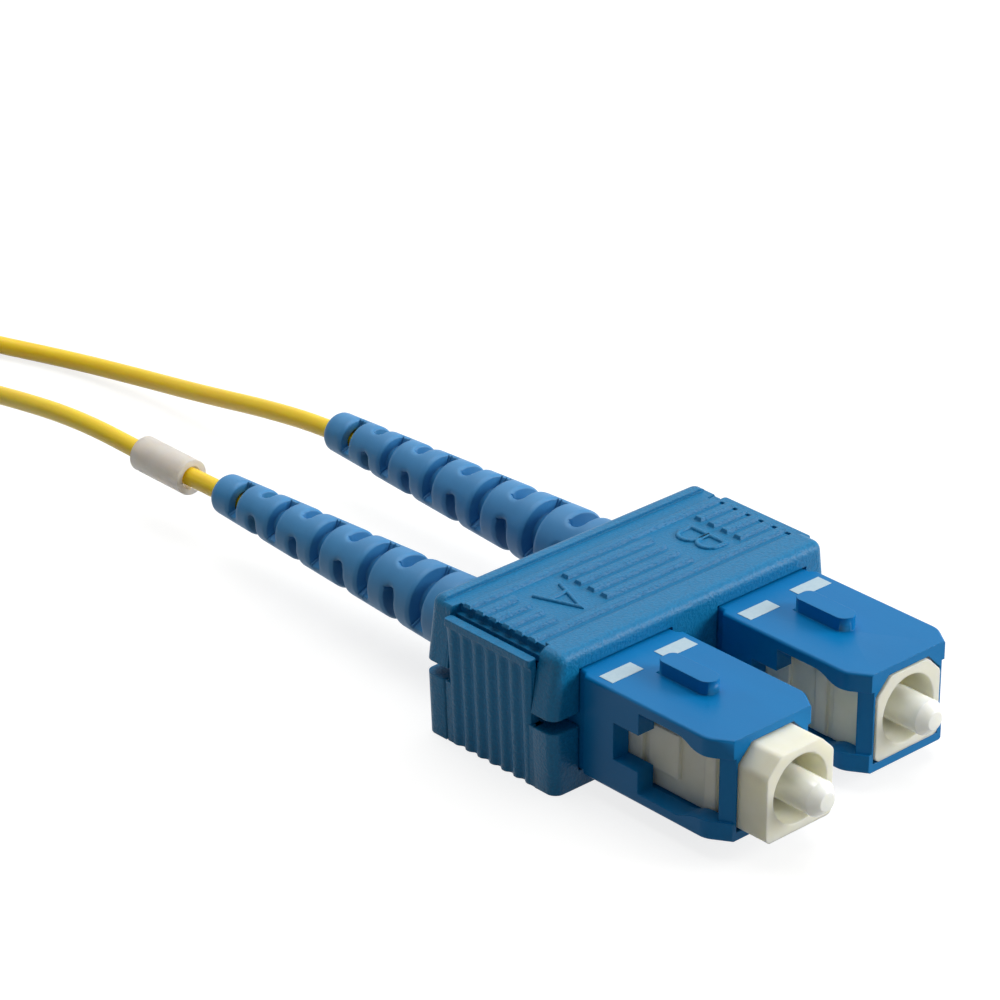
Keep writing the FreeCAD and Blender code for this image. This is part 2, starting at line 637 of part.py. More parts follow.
def coil(label, z):
    """The turns that are put away, as one closed ring with the outline of the stacked turns."""
    body = new_body(label)
    low, mid, high = d.coil_low_half, d.coil_mid_half, d.coil_high_half
    sketch = outline(new_sketch(body, "XZ_Plane", "bundle"), [
        (d.coil_turn - low, 0), (d.coil_turn + low, 0), (d.coil_turn + mid, d.coil_mid),
        (d.coil_turn + high, d.coil_height), (d.coil_turn - high, d.coil_height),
        (d.coil_turn - mid, d.coil_mid)])
    feature(body, "Revolution", sketch, ReferenceAxis=(sketch, ["V_Axis"]), Angle=360.0)
    place(body, d.far_x + d.coil_exit, d.coil_y, z)


def pipe(label, radius, bore, length, x, y, z):
    """A plain sleeve along Y."""
    ends = []
    for name, size in (("outside", radius), ("bore", bore)):
        rod = doc.addObject("Part::Cylinder", f"{label}_{name}")
        bind(rod, "Radius", size)
        bind(rod, "Height", length)
        ends.append(rod)
    cut = doc.addObject("Part::Cut", label)
    cut.Base, cut.Tool = ends
    x, y, z = as_size(x), as_size(y), as_size(z)
    cut.Placement = Placement(Vector(x.number, y.number, z.number), Rotation(Vector(1, 0, 0), -90))
    for axis, size in zip("xyz", (x, y, z)):
        bind(cut, f"Placement.Base.{axis}", size)
    return keep(cut, label)


# ---------------------------------------------------------------- clip
def shell_block(label, low, high, low_half, high_half):
    """One half of the clip before it is hollowed: drafted ends and rounded edges."""
    body = new_body(label)
    sketch = outline(new_sketch(body, "XZ_Plane", "section"), [
        (-low_half, low), (low_half, low), (high_half, high), (-high_half, high)])
    feature(body, "Pad", sketch, Length=d.clip_half_depth * 2, Midplane=True)
    return body


def plug_channels(body, low, high, name):
    """Hollows the shell for both grip housings, the collars behind them and the boots."""
    rear = d.clip_half_depth - d.rear_wall
    collar = d.collar_start - d.grip_standout - d.clip_half_depth - d.seat_gap
    for side in (-1, 1):
        centre = d.pitch / 2 * side
        sketch = new_sketch(body, "XY_Plane", f"channel_{name}_{'ab'[side > 0]}", lift=low)
        neck, wide = d.neck_half_width + d.seat_gap, d.grip_half_width + d.seat_gap
        front = -d.clip_half_depth - 1
        outline(sketch, [
            (centre - neck, front), (centre + neck, front), (centre + neck, collar),
            (centre + wide, collar), (centre + wide, rear), (centre - wide, rear),
            (centre - wide, collar), (centre - neck, collar)])
        feature(body, "Pocket", sketch, Length=high - low, Reversed=True)
    sketch = new_sketch(body, "XZ_Plane", f"boot_holes_{name}")
    for side in (-1, 1):
        disc(sketch, d.pitch / 2 * side, d.axis_height, d.boot_hole)
    feature(body, "Pocket", sketch, Length=d.clip_half_depth + 1)


def both_ends(draw):
    for way in (-1, 1):
        draw(way, "left" if way < 0 else "right")


def clip_bottom_shell(label):
    low, high = as_size(0), d.part_low
    body = shell_block(label, low, high, d.clip_foot_half, d.clip_part_half)
    rounded(body, d.clip_round, lambda e: abs(e.CenterOfMass.z - high.number) > 0.01
            and not (runs_along(e, "y") or runs_along(e, "x")), "corners")
    inset = d.core_inset
    sketch = rectangle(new_sketch(body, "XY_Plane", "tongue"),
                       inset - d.field_half, inset - d.clip_half_depth,
                       d.field_half - inset, d.clip_half_depth - inset)
    feature(body, "Pad", sketch, Length=d.part_high)
    plug_channels(body, d.axis_height - d.grip_half_height - d.seat_gap, d.part_high, "low")
    both_ends(lambda way, name: latch_panel(body, way, name))
    return body


def latch_panel(body, way, name):
    """The springy finger panel at one end of the clip, with its ribs, top bar and hook."""
    foot = d.clip_foot_half - d.finger_rib
    crest = foot + d.panel_lean
    mid, top = d.panel_centre, d.panel_top
    sketch = new_sketch(body, "YZ_Plane", f"panel_{name}", lift=d.panel_inner * way)
    bend = d.panel_corner
    outline(sketch, [
        (mid - d.panel_half_foot, 0), (mid + d.panel_half_foot, 0),
        (mid + d.panel_half_top, top - bend), (mid + d.panel_half_top - bend, top, bend, 1),
        (mid - d.panel_half_top + bend, top), (mid - d.panel_half_top, top - bend, bend, 1)])
    feature(body, "Pad", sketch, Length=crest + d.finger_rib - d.panel_inner, Reversed=way < 0)
    sketch = new_sketch(body, "XZ_Plane", f"lean_{name}")
    out = crest + d.finger_rib + 1
    under = top - d.panel_bar
    lean = foot + d.panel_lean * (under / top)
    outline(sketch, [(foot * way, 0), (out * way, 0), (out * way, under), (lean * way, under)])
    wide = (d.panel_half_top + 0.2) * 2
    feature(body, "Pocket", sketch, Length=wide, Midplane=True)
    sketch = new_sketch(body, "XZ_Plane", f"back_{name}")
    inner = d.panel_inner + d.panel_lean
    outline(sketch, [(d.panel_inner * way, d.part_high), (inner * way, top), (inner * way, top + 1),
                     (d.panel_inner * way, top + 1)])
    feature(body, "Pocket", sketch, Length=wide, Midplane=True)
    rounded(body, d.panel_bar_round,
            lambda e: runs_along(e, "y") and near(e.CenterOfMass.z, top), f"bar_{name}")
    sketch = new_sketch(body, "XY_Plane", f"fingers_{name}")
    count = int(d.finger_count.number)
    for number in range(count):
        along = mid + d.finger_pitch * (number - (count - 1) / 2)
        disc(sketch, foot * way, along, d.finger_rib)
    made = body.newObject("PartDesign::Pad", f"{body.Label}_fingers_pad_{name}")
    made.Profile = sketch
    made.UseCustomVector = True
    made.Direction = Vector(d.panel_lean.number * way, 0, top.number)
    made.AlongSketchNormal = True
    bind(made, "Length", under + d.finger_rib / 2)
    doc.recompute()
    hook = d.field_half + d.latch_ledge - d.hook_overlap
    sketch = outline(new_sketch(body, "XZ_Plane", f"hook_{name}"), [
        (inner * way, d.hook_top), (hook * way, d.hook_top),
        (inner * way, d.hook_top - d.hook_height)])
    feature(body, "Pad", sketch, Length=(d.panel_half_foot - d.panel_gap) * 2, Midplane=True)


def clip_top_shell(label):
    low, high = d.part_high, d.clip_height
    body = shell_block(label, low, high, d.clip_part_half, d.clip_top_half)
    rounded(body, d.clip_round, lambda e: e.CenterOfMass.z > low.number + 0.01, "edges")
    plug_channels(body, low - 1, d.axis_height + d.grip_half_height + d.seat_gap, "high")
    half = d.panel_half_top + d.panel_gap
    for way, name in ((-1, "left"), (1, "right")):
        sketch = new_sketch(body, "XY_Plane", f"notch_{name}", lift=high + 1)
        edge, out = d.field_half, d.clip_part_half + 1
        outline(sketch, [
            (edge * way, d.panel_centre - half), (out * way, d.panel_centre - half),
            (out * way, d.panel_centre + half), (edge * way, d.panel_centre + half)])
        feature(body, "Pocket", sketch, Length=high - low + 2)
        sketch = new_sketch(body, "XZ_Plane", f"ledge_{name}")
        outline(sketch, [
            ((edge - 0.5) * way, d.ledge_top - d.ledge_height),
            ((edge + d.latch_ledge) * way, d.ledge_top - d.ledge_height),
            ((edge + d.latch_ledge) * way, d.ledge_top), ((edge - 0.5) * way, d.ledge_top)])
        feature(body, "Pad", sketch, Length=(half + 0.2) * 2, Midplane=True)
    ribbed_field(body)
    return body


def ribbed_field(body):
    """The sunk field on the top with two full-length ribs and four rows of short ones."""
    out = d.field_half + 1
    sketch = rectangle(new_sketch(body, "XY_Plane", "field", lift=d.clip_height),
                       -out, d.field_front, out, d.field_rear)
    feature(body, "Pocket", sketch, Length=d.field_depth)
    end = d.field_half + d.rib_head
    rows = [[(-end, end)]] + 4 * [[(-end, -d.side_group_inner), (-d.mid_group_end, d.mid_group_end),
                                   (d.side_group_inner, end)]] + [[(-end, end)]]
    slope = (d.rib_crest - d.rib_half) / d.field_depth
    lean = Size(math.degrees(math.atan(slope.number)), f"atan({slope.text})")
    for number, spans in enumerate(rows):
        sketch = new_sketch(body, "XY_Plane", f"ribs_{number}", lift=d.clip_height - d.field_depth)
        along = d.rib_first + d.rib_pitch * number
        for left, right in spans:
            rectangle(sketch, left, along - d.rib_half, right, along + d.rib_half)
        feature(body, "Pad", sketch, Length=d.field_depth, TaperAngle=lean)


# ---------------------------------------------------------------- assembly
def near_plug(letter, x, front, setback):
    """One plug in the clip: its sliding core, its sprung ferrule and its boot."""
    core = front - d.frame_standout + setback
    place(grip_housing(f"grip_housing_{letter}"), x, front, d.axis_height)
    for piece in (
        plug_frame(f"plug_frame_{letter}"), rear_body(f"rear_body_{letter}"),
        crimp_sleeve(f"crimp_sleeve_{letter}"), cable_end(f"cable_end_{letter}"),
        ferrule(f"ferrule_{letter}", d.ferrule_length), ferrule_flange(f"ferrule_flange_{letter}"),
        buffered_fibre(f"buffered_fibre_{letter}"), boot(f"boot_{letter}"),
    ):
        place(piece, x, core, d.axis_height)
    place(spring(f"ferrule_spring_{letter}"), x, core + spring_front(), d.axis_height)
    return core


def far_plug(letter, z):
    """The plug at the other end of one cable, lying beside the coil."""
    place(grip_housing(f"far_grip_{letter}"), d.far_x, d.far_y + d.far_standout, z)
    for piece in (
        far_frame(f"far_frame_{letter}"), far_boot(f"far_boot_{letter}"),
        ferrule(f"far_ferrule_{letter}", d.ferrule_reach + d.frame_bore_depth),
    ):
        place(piece, d.far_x, d.far_y, z)


clip_bottom_shell("clip_bottom_shell")
clip_top_shell("clip_top_shell")
grip_front = -d.clip_half_depth - d.grip_standout
core_a = near_plug("a", -d.pitch / 2, grip_front, as_size(0))
core_b = near_plug("b", d.pitch / 2, grip_front, d.core_setback)

start_a = core_a + d.boot_tip - d.tube_start
start_b = core_b + d.boot_tip - d.tube_start
coil_b_z = d.coil_height + d.stack_gap
far_a_z = d.grip_half_height
far_b_z = d.grip_half_height * 3 + d.key_height + d.stack_gap
enter_x, enter_y = d.far_x + d.coil_exit + d.coil_entry, d.coil_y - d.coil_overlap

tube("cable_a", [
    (-d.pitch / 2, start_a, d.axis_height), (-d.pitch / 2, 35.8, 5.0), (-d.pitch / 2, 43.5, 4.85),
    (-d.pitch / 2, 52.0, 4.95), (-6.4, 60.5, 3.85), (-6.5, 70.0, 2.1), (-6.6, 81.0, 0.75),
    (-6.5, 92.5, 0.75), (-6.4, 104.0, 0.85), (enter_x, enter_y, 1.1)])
tube("cable_b", [
    (d.pitch / 2, start_b, d.axis_height), (d.pitch / 2, 38.1, 4.98), (6.33, 45.2, 4.1),
    (6.3, 53.6, 2.55), (6.25, 61.0, 1.4), (5.0, 69.0, 0.72), (0.8, 78.6, 0.9),
    (-3.2, 90.0, 2.7), (-5.6, 102.0, 5.2), (enter_x, enter_y, coil_b_z + 1.1)])
for letter, coil_z, plug_z in (("a", as_size(0), far_a_z), ("b", coil_b_z, far_b_z)):
    coil(f"coil_{letter}", coil_z)
    far_plug(letter, plug_z)
    tail = d.far_y + d.boot_tip
    tube(f"cable_tail_{letter}", [
        (d.far_x + 0.7, d.coil_y - d.coil_overlap, coil_z + 4.6), (d.far_x + 0.2, tail + 4.6, plug_z + 0.1),
        (d.far_x, tail - 0.5, plug_z), (d.far_x, tail - d.tube_start, plug_z)])
pipe("marker_sleeve_a", d.sleeve_radius, d.sleeve_bore, d.sleeve_length,
     -d.pitch / 2, d.sleeve_y, d.axis_height - d.sleeve_drop)

doc.recompute()
for obj in doc.Objects:
    if "Invalid" in obj.State or "Error" in obj.State:
        raise RuntimeError(f"{obj.Name} is {obj.State}")
os.makedirs("parts", exist_ok=True)
for piece in PIECES:
    shape = piece.Shape
    if shape.isNull() or not shape.isValid() or len(shape.Solids) != 1:
        raise RuntimeError(f"{piece.Label} has {len(shape.Solids)} solids, valid {shape.isValid()}")
    shape.exportStep(f"parts/{piece.Label}.step")
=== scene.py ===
import math

import bmesh
import bpy
from bpy.props import FloatProperty, FloatVectorProperty, IntProperty, PointerProperty
from mathutils import Matrix, Vector


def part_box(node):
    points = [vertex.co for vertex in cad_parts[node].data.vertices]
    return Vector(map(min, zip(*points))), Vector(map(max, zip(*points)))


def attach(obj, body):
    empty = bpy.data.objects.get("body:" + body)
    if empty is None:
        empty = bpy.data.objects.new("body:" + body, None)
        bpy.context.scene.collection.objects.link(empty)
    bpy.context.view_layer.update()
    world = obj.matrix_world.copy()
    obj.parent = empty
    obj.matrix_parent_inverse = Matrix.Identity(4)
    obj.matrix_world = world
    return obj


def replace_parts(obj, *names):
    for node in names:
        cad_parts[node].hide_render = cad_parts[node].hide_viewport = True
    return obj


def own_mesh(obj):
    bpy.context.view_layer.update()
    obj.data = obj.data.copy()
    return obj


bl_info = {
    "name": "Duplex SC fibre connector",
    "version": (1, 0, 0),
    "blender": (4, 5, 0),
    "location": "3D View > Sidebar > Connector",
    "description": "Finishes, cables, small raised parts and a studio for a clipped pair of SC plugs",
    "category": "Add Mesh",
}

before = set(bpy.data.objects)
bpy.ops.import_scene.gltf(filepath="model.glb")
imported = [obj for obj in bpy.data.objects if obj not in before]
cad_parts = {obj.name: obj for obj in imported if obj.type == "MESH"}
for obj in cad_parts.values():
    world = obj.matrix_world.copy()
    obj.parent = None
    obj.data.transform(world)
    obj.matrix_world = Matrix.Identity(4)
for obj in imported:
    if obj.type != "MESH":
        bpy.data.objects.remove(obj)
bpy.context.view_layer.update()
MM = 0.001


# ---------------------------------------------------------------- colour and material helpers
def linear(hex_colour):
    """An sRGB hex colour as linear red, green, blue and alpha."""
    shares = [int(hex_colour[i:i + 2], 16) / 255 for i in (1, 3, 5)]
    return (*(c / 12.92 if c <= 0.04045 else ((c + 0.055) / 1.055) ** 2.4 for c in shares), 1.0)


def add_node(tree, kind, values=None, links=None, **settings):
    """Adds a shader node with its properties, its socket values and what feeds its sockets."""
    node = tree.nodes.new(kind)
    for name, value in settings.items():
        setattr(node, name, value)
    for socket, value in (values or {}).items():
        node.inputs[socket].default_value = value
    for socket, source in (links or {}).items():
        tree.links.new(source, node.inputs[socket])
    return node


def new_material(name, values):
    """A material with one Principled shader whose plain values are set on its own sockets."""
    made = bpy.data.materials.new(name)
    made.use_nodes = True
    made.node_tree.nodes.clear()
    shader = add_node(made.node_tree, "ShaderNodeBsdfPrincipled", values)
    add_node(made.node_tree, "ShaderNodeOutputMaterial", links={"Surface": shader.outputs["BSDF"]})
    return made, made.node_tree, shader


def surface_points(tree, stretch=(1, 1, 1)):
    """The surface's own coordinates in metres, stretched along the axes that a pattern runs on."""
    place = add_node(tree, "ShaderNodeTexCoord")
    return add_node(tree, "ShaderNodeMapping", {"Scale": stretch},
                    {"Vector": place.outputs["Object"]}).outputs["Vector"]


def grain(tree, width_mm, detail=2.0, stretch=(1, 1, 1)):
    """A noise whose grains are about width_mm across."""
    return add_node(tree, "ShaderNodeTexNoise", {"Scale": 1 / (width_mm * MM), "Detail": detail},
                    {"Vector": surface_points(tree, stretch)}).outputs["Fac"]


def tint(tree, shader, amount, dark, light):
    """Varies the base colour between two near colours with amount, which runs from 0 to 1."""
    blend = add_node(tree, "ShaderNodeMix", {"A": dark, "B": light}, data_type="RGBA")
    tree.links.new(amount, blend.inputs["Factor"])
    tree.links.new(blend.outputs["Result"], shader.inputs["Base Color"])


def relief(tree, shader, heights, depth_mm, strength, edge_mm=0.0):
    """Raises the surface by heights, up to depth_mm, and shades its edges as round over edge_mm."""
    bump = add_node(tree, "ShaderNodeBump", {"Distance": depth_mm * MM, "Strength": strength},
                    {"Height": heights})
    if edge_mm:
        edge = add_node(tree, "ShaderNodeBevel", {"Radius": edge_mm * MM}, samples=6)
        tree.links.new(edge.outputs["Normal"], bump.inputs["Normal"])
    tree.links.new(bump.outputs["Normal"], shader.inputs["Normal"])


def vary_roughness(tree, shader, amount, low, high):
    """Varies the roughness from low to high with amount, which runs from 0 to 1."""
    span = add_node(tree, "ShaderNodeMapRange", {"To Min": low, "To Max": high}, {"Value": amount})
    tree.links.new(span.outputs["Result"], shader.inputs["Roughness"])


# ---------------------------------------------------------------- finishes
def spark_eroded_abs():
    """ABS moulded in a spark-eroded tool: a fine even grain that breaks the gloss up.

    The real grain is about 0.05 mm wide, less than shows, so it is drawn 0.2 mm wide."""
    colours = bpy.context.scene.connector_colours
    made, tree, shader = new_material("abs_spark_eroded_blue", {
        "IOR": 1.53, "Specular IOR Level": 0.22})
    fine = grain(tree, 0.2, 3.0)
    tint(tree, shader, fine, colours.clip_dark, colours.clip_light)
    vary_roughness(tree, shader, fine, 0.3, 0.5)
    relief(tree, shader, fine, 0.06, 1.0, edge_mm=0.14)
    return made


def glossy_pbt():
    """PBT moulded in a polished tool: a clear blue with soft reflections and faint flow waves."""
    colours = bpy.context.scene.connector_colours
    made, tree, shader = new_material("pbt_moulded_blue", {
        "IOR": 1.55, "Specular IOR Level": 0.14})
    flow = grain(tree, 3.0, stretch=(1, 0.3, 1))
    tint(tree, shader, flow, colours.housing_dark, colours.housing_light)
    fine = grain(tree, 0.13)
    vary_roughness(tree, shader, fine, 0.3, 0.4)
    relief(tree, shader, fine, 0.006, 0.35, edge_mm=0.1)
    return made


def ivory_pbt():
    """Glass-filled PBT in its natural ivory: matt, slightly see-through at thin edges."""
    colours = bpy.context.scene.connector_colours
    made, tree, shader = new_material("pbt_moulded_ivory", {
        "IOR": 1.55, "Specular IOR Level": 0.4, "Subsurface Weight": 0.6,
        "Subsurface Radius": (1.0, 0.9, 0.6), "Subsurface Scale": 1.1 * MM})
    tint(tree, shader, grain(tree, 1.2), colours.frame_dark, colours.frame_light)
    fine = grain(tree, 0.12)
    vary_roughness(tree, shader, fine, 0.4, 0.5)
    relief(tree, shader, fine, 0.006, 0.3, edge_mm=0.18)
    return made


def lapped_zirconia():
    """Zirconia ground round and lapped: a dense white with a sharp highlight and faint ground rings."""
    made, tree, shader = new_material("zirconia_lapped", {
        "IOR": 2.1, "Specular IOR Level": 0.4, "Subsurface Weight": 0.7,
        "Subsurface Radius": (1.0, 0.95, 0.8), "Subsurface Scale": 1.2 * MM})
    tint(tree, shader, grain(tree, 0.8), linear("#eff1e6"), linear("#f9faf3"))
    rings = grain(tree, 0.15, stretch=(0.1, 1, 0.1))
    vary_roughness(tree, shader, rings, 0.14, 0.22)
    relief(tree, shader, rings, 0.001, 0.3)
    return made


def moulded_elastomer():
    """Soft PVC moulded over the cable: an even satin blue, a little darker in the pores."""
    colours = bpy.context.scene.connector_colours
    made, tree, shader = new_material("pvc_soft_moulded_blue", {
        "IOR": 1.52, "Specular IOR Level": 0.4})
    tint(tree, shader, grain(tree, 2.0), colours.boot_dark, colours.boot_light)
    fine = grain(tree, 0.14)
    vary_roughness(tree, shader, fine, 0.4, 0.52)
    relief(tree, shader, fine, 0.01, 0.4, edge_mm=0.14)
    return made


def extruded_jacket():
    """LSZH jacket drawn through a die: satin yellow with faint streaks along its length."""
    colours = bpy.context.scene.connector_colours
    made, tree, shader = new_material("lszh_extruded_yellow", {
        "IOR": 1.5, "Subsurface Weight": 0.35, "Subsurface Radius": (1.0, 0.7, 0.1),
        "Subsurface Scale": 0.6 * MM})
    streaks = grain(tree, 0.5, stretch=(1, 0.12, 1))
    tint(tree, shader, streaks, colours.jacket_dark, colours.jacket_light)
    vary_roughness(tree, shader, streaks, 0.32, 0.44)
    relief(tree, shader, grain(tree, 0.2, stretch=(1, 0.3, 1)), 0.006, 0.3)
    return made


def milky_vinyl():
    """Heat-shrunk clear vinyl gone milky: warm grey-white, soft and slightly see-through."""
    made, tree, shader = new_material("vinyl_shrunk_milky", {
        "IOR": 1.53, "Transmission Weight": 0.4, "Subsurface Weight": 0.6,
        "Subsurface Radius": (1.0, 0.9, 0.7), "Subsurface Scale": 1.0 * MM})
    cloud = grain(tree, 0.9)
    tint(tree, shader, cloud, linear("#f5ebdf"), linear("#fdf8f1"))
    vary_roughness(tree, shader, cloud, 0.3, 0.45)
    relief(tree, shader, grain(tree, 0.3), 0.01, 0.4)
    return made


def pad_print():
    """Pad-printed ink: a thin matt film, grey-white, with a slightly uneven edge tone."""
    made, tree, shader = new_material("ink_pad_printed_white", {"IOR": 1.48})
    cloud = grain(tree, 0.25)
    tint(tree, shader, cloud, linear("#a8c2cf"), linear("#bcd0d9"))
    vary_roughness(tree, shader, cloud, 0.5, 0.62)
    return made


def turned_metal(name, colour_dark, colour_light, rough):
    """Metal turned or drawn to size, plated or bare: fine rings round the Y axis."""
    made, tree, shader = new_material(name, {"Metallic": 1.0})
    rings = grain(tree, 0.12, stretch=(0.05, 1, 0.05))
    tint(tree, shader, rings, linear(colour_dark), linear(colour_light))
    vary_roughness(tree, shader, rings, rough, rough + 0.12)
    relief(tree, shader, rings, 0.002, 0.4)
    return made


def drawn_steel():
    """Stainless spring wire, cold drawn: bright, with faint draw marks."""
    made, tree, shader = new_material("stainless_steel_drawn", {"Metallic": 1.0})
    marks = grain(tree, 0.2)
    tint(tree, shader, marks, linear("#b3b5b6"), linear("#cdcfd0"))
    vary_roughness(tree, shader, marks, 0.2, 0.3)
    return made


def fibre_buffer():
    """Tight PVC buffer over the fibre: smooth and white."""
    made, tree, shader = new_material("pvc_extruded_white", {"IOR": 1.5})
    cloud = grain(tree, 0.6)
    tint(tree, shader, cloud, linear("#e4e4de"), linear("#f0f0ea"))
    vary_roughness(tree, shader, cloud, 0.35, 0.45)
    return made


def woven_strap():
    """Hook-and-loop strap: black nylon with a 0.3 mm weave."""
    made, tree, shader = new_material("nylon_woven_black", {"Sheen Weight": 0.3, "Sheen Roughness": 0.5})
    thread, bands_at_scale_one = 0.3 * MM, 0.3
    weave = add_node(tree, "ShaderNodeTexWave", {"Scale": bands_at_scale_one / thread,
                                                 "Distortion": 0.4},
                     {"Vector": surface_points(tree)}, bands_direction="DIAGONAL")
    tint(tree, shader, weave.outputs["Fac"], linear("#18191b"), linear("#2b2d30"))
    vary_roughness(tree, shader, weave.outputs["Fac"], 0.7, 0.85)
    relief(tree, shader, weave.outputs["Fac"], 0.05, 0.6)
    return made


def give_finish(finish, *names):
    """Puts one finish on carried-over CAD nodes."""
    for name in names:
        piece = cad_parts[name]
        piece.data.materials.clear()
        piece.data.materials.append(finish)


def in_both(*stems):
    """The names of the nodes that plug A and plug B each have one of."""
    return [f"{stem}_{letter}" for stem in stems for letter in "ab"]


# ---------------------------------------------------------------- mesh helpers
def add_piece(name, mesh, finish, body):
    """Links a new piece, gives it its finish, and lets it move with a body."""
    mesh.materials.append(finish)
    piece = bpy.data.objects.new(name, mesh)
    bpy.context.scene.collection.objects.link(piece)
    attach(piece, body)
    return piece


def even_faces(piece):
    """Keeps big flat faces flat in shading beside small rounded edges."""
    tool = piece.modifiers.new("even_faces", "WEIGHTED_NORMAL")
    tool.mode, tool.weight, tool.keep_sharp = "FACE_AREA", 100, True
    return piece


def plain_mesh(name, form):
    """Turns a form into a mesh with its faces outward, and frees the form."""
    bmesh.ops.recalc_face_normals(form, faces=form.faces)
    mesh = bpy.data.meshes.new(name)
    form.to_mesh(mesh)
    form.free()
    return mesh


def smooth_mesh(name, form, corner=40):
    """A plain mesh that is shaded smooth but for its corners."""
    mesh = plain_mesh(name, form)
    mesh.shade_smooth()
    mesh.set_sharp_from_angle(angle=math.radians(corner))
    return mesh


def soft_bevel(piece, width_mm, segments=2):
    """Rounds a piece's sharp edges."""
    tool = piece.modifiers.new("edges", "BEVEL")
    tool.width, tool.segments, tool.limit_method = width_mm * MM, segments, "ANGLE"
    return piece


def prism_mesh(prisms):
    """Upright prisms in mm as one mesh: each is an outline with its lowest and highest level."""
    form = bmesh.new()
    for outline, low, high in prisms:
        rings = [[form.verts.new((*spot, level)) for spot in outline] for level in (low, high)]
        form.faces.new(reversed(rings[0]))
        form.faces.new(rings[1])
        for k in range(len(outline)):
            after = (k + 1) % len(outline)
            form.faces.new((rings[0][k], rings[0][after], rings[1][after], rings[1][k]))
    return plain_mesh("prisms", form)


def merge_flats(mesh, weld_mm):
    """Welds doubled points and makes one face of the triangles that lie in one plane."""
    form = bmesh.new()
    form.from_mesh(mesh)
    bmesh.ops.remove_doubles(form, verts=form.verts, dist=weld_mm * MM)
    bmesh.ops.dissolve_limit(form, angle_limit=math.radians(0.4), verts=form.verts, edges=form.edges)
    form.to_mesh(mesh)
    form.free()


def carved(node, prisms):
    """A copy of a carried-over solid with upright prisms cut out of it; the cut is worked in mm."""
    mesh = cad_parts[node].data.copy()
    merge_flats(mesh, 0.0005)
    mesh.transform(Matrix.Scale(1 / MM, 4))
    work = bpy.data.objects.new("carving", mesh)
    tool = bpy.data.objects.new("carving_tool", prism_mesh(prisms))
    for each in (work, tool):
        bpy.context.scene.collection.objects.link(each)
    cut = work.modifiers.new("cut", "BOOLEAN")
    cut.operation, cut.solver, cut.object = "DIFFERENCE", "EXACT", tool
    graph = bpy.context.evaluated_depsgraph_get()
    result = bpy.data.meshes.new_from_object(work.evaluated_get(graph))
    for each in (work, tool):
        bpy.data.objects.remove(each)
    result.transform(Matrix.Scale(MM, 4))
    result.materials.clear()
    merge_flats(result, 0.001)
    result.shade_smooth()
    result.set_sharp_from_angle(angle=math.radians(28))
    return result


def swept(name, line, half_width, foot, crest, closed):
    """A raised bead of trapezium section that follows a flat line; sizes in mm."""
    form = bmesh.new()
    count = len(line)
    rings = []
    for i, spot in enumerate(line):
        before = line[i - 1] if i or closed else spot
        after = line[(i + 1) % count] if i < count - 1 or closed else spot
        to = (Vector(spot) - Vector(before)).normalized() if spot != before else None
        away = (Vector(after) - Vector(spot)).normalized() if spot != after else None
        to, away = to or away, away or to
        along = (to + away).normalized()
        across = Vector((-along.y, along.x)) / max(along.dot(to), 0.5)
        rings.append([form.verts.new((*((Vector(spot) + across * half_width * share) * MM), high * MM))
                      for share, high in ((1, foot), (0.62, crest), (-0.62, crest), (-1, foot))])
    for i in range(count if closed else count - 1):
        ring, follower = rings[i], rings[(i + 1) % count]
        for k in range(4):
            form.faces.new((ring[k], follower[k], follower[(k + 1) % 4], ring[(k + 1) % 4]))
    if not closed:
        form.faces.new(rings[0])
        form.faces.new(reversed(rings[-1]))
    return plain_mesh(name, form)


# ---------------------------------------------------------------- cables
# Control points in mm: from boot to coil, and from coil to the far plug.
ROUTES = {
    "a": [(-6.35, 28.89, 5.07), (-6.35, 35.8, 5.0), (-6.35, 43.5, 4.85), (-6.35, 52.0, 4.95),
          (-6.4, 60.5, 3.85), (-6.5, 70.0, 2.1), (-6.6, 81.0, 0.75), (-6.5, 92.5, 0.75),
          (-6.4, 104.0, 0.85), (-6.2, 114.7, 1.1)],
    "b": [(6.35, 31.29, 5.07), (6.35, 38.1, 4.98), (6.33, 45.2, 4.1), (6.3, 53.6, 2.55),
          (6.25, 61.0, 1.4), (5.0, 69.0, 0.72), (0.8, 78.6, 0.9), (-3.2, 90.0, 2.7),
          (-5.6, 102.0, 5.2), (-6.2, 114.7, 6.8)],
}
TAILS = {
    "a": [(-26.9, 114.7, 4.6), (-27.4, 109.8, 3.8), (-27.6, 104.7, 3.7), (-27.6, 98.95, 3.7)],
    "b": [(-26.9, 114.7, 10.7), (-27.4, 109.8, 12.2), (-27.6, 104.7, 12.39), (-27.6, 98.95, 12.39)],
}
# The middle of both coils, the height of their lowest row, and where each is tied, in degrees from +X.
COIL_MIDDLE = (-17.0, 118.2)
COIL_LOWEST = {"a": 1.1, "b": 6.7}
TIE_ANGLE = {"a": 90, "b": 45}
# How many turns lie in each row, from the lowest up.
COIL_ROWS = (4, 5, 4, 3)
# The strap bends round the outermost turns: row, side of the coil's middle, and the bend's start.
TIE_CORNERS = ((0, 1, -90), (1, 1, 0), (3, 1, 40), (3, -1, 90), (1, -1, 150), (0, -1, 210))
TIE_CLEAR = 0.12


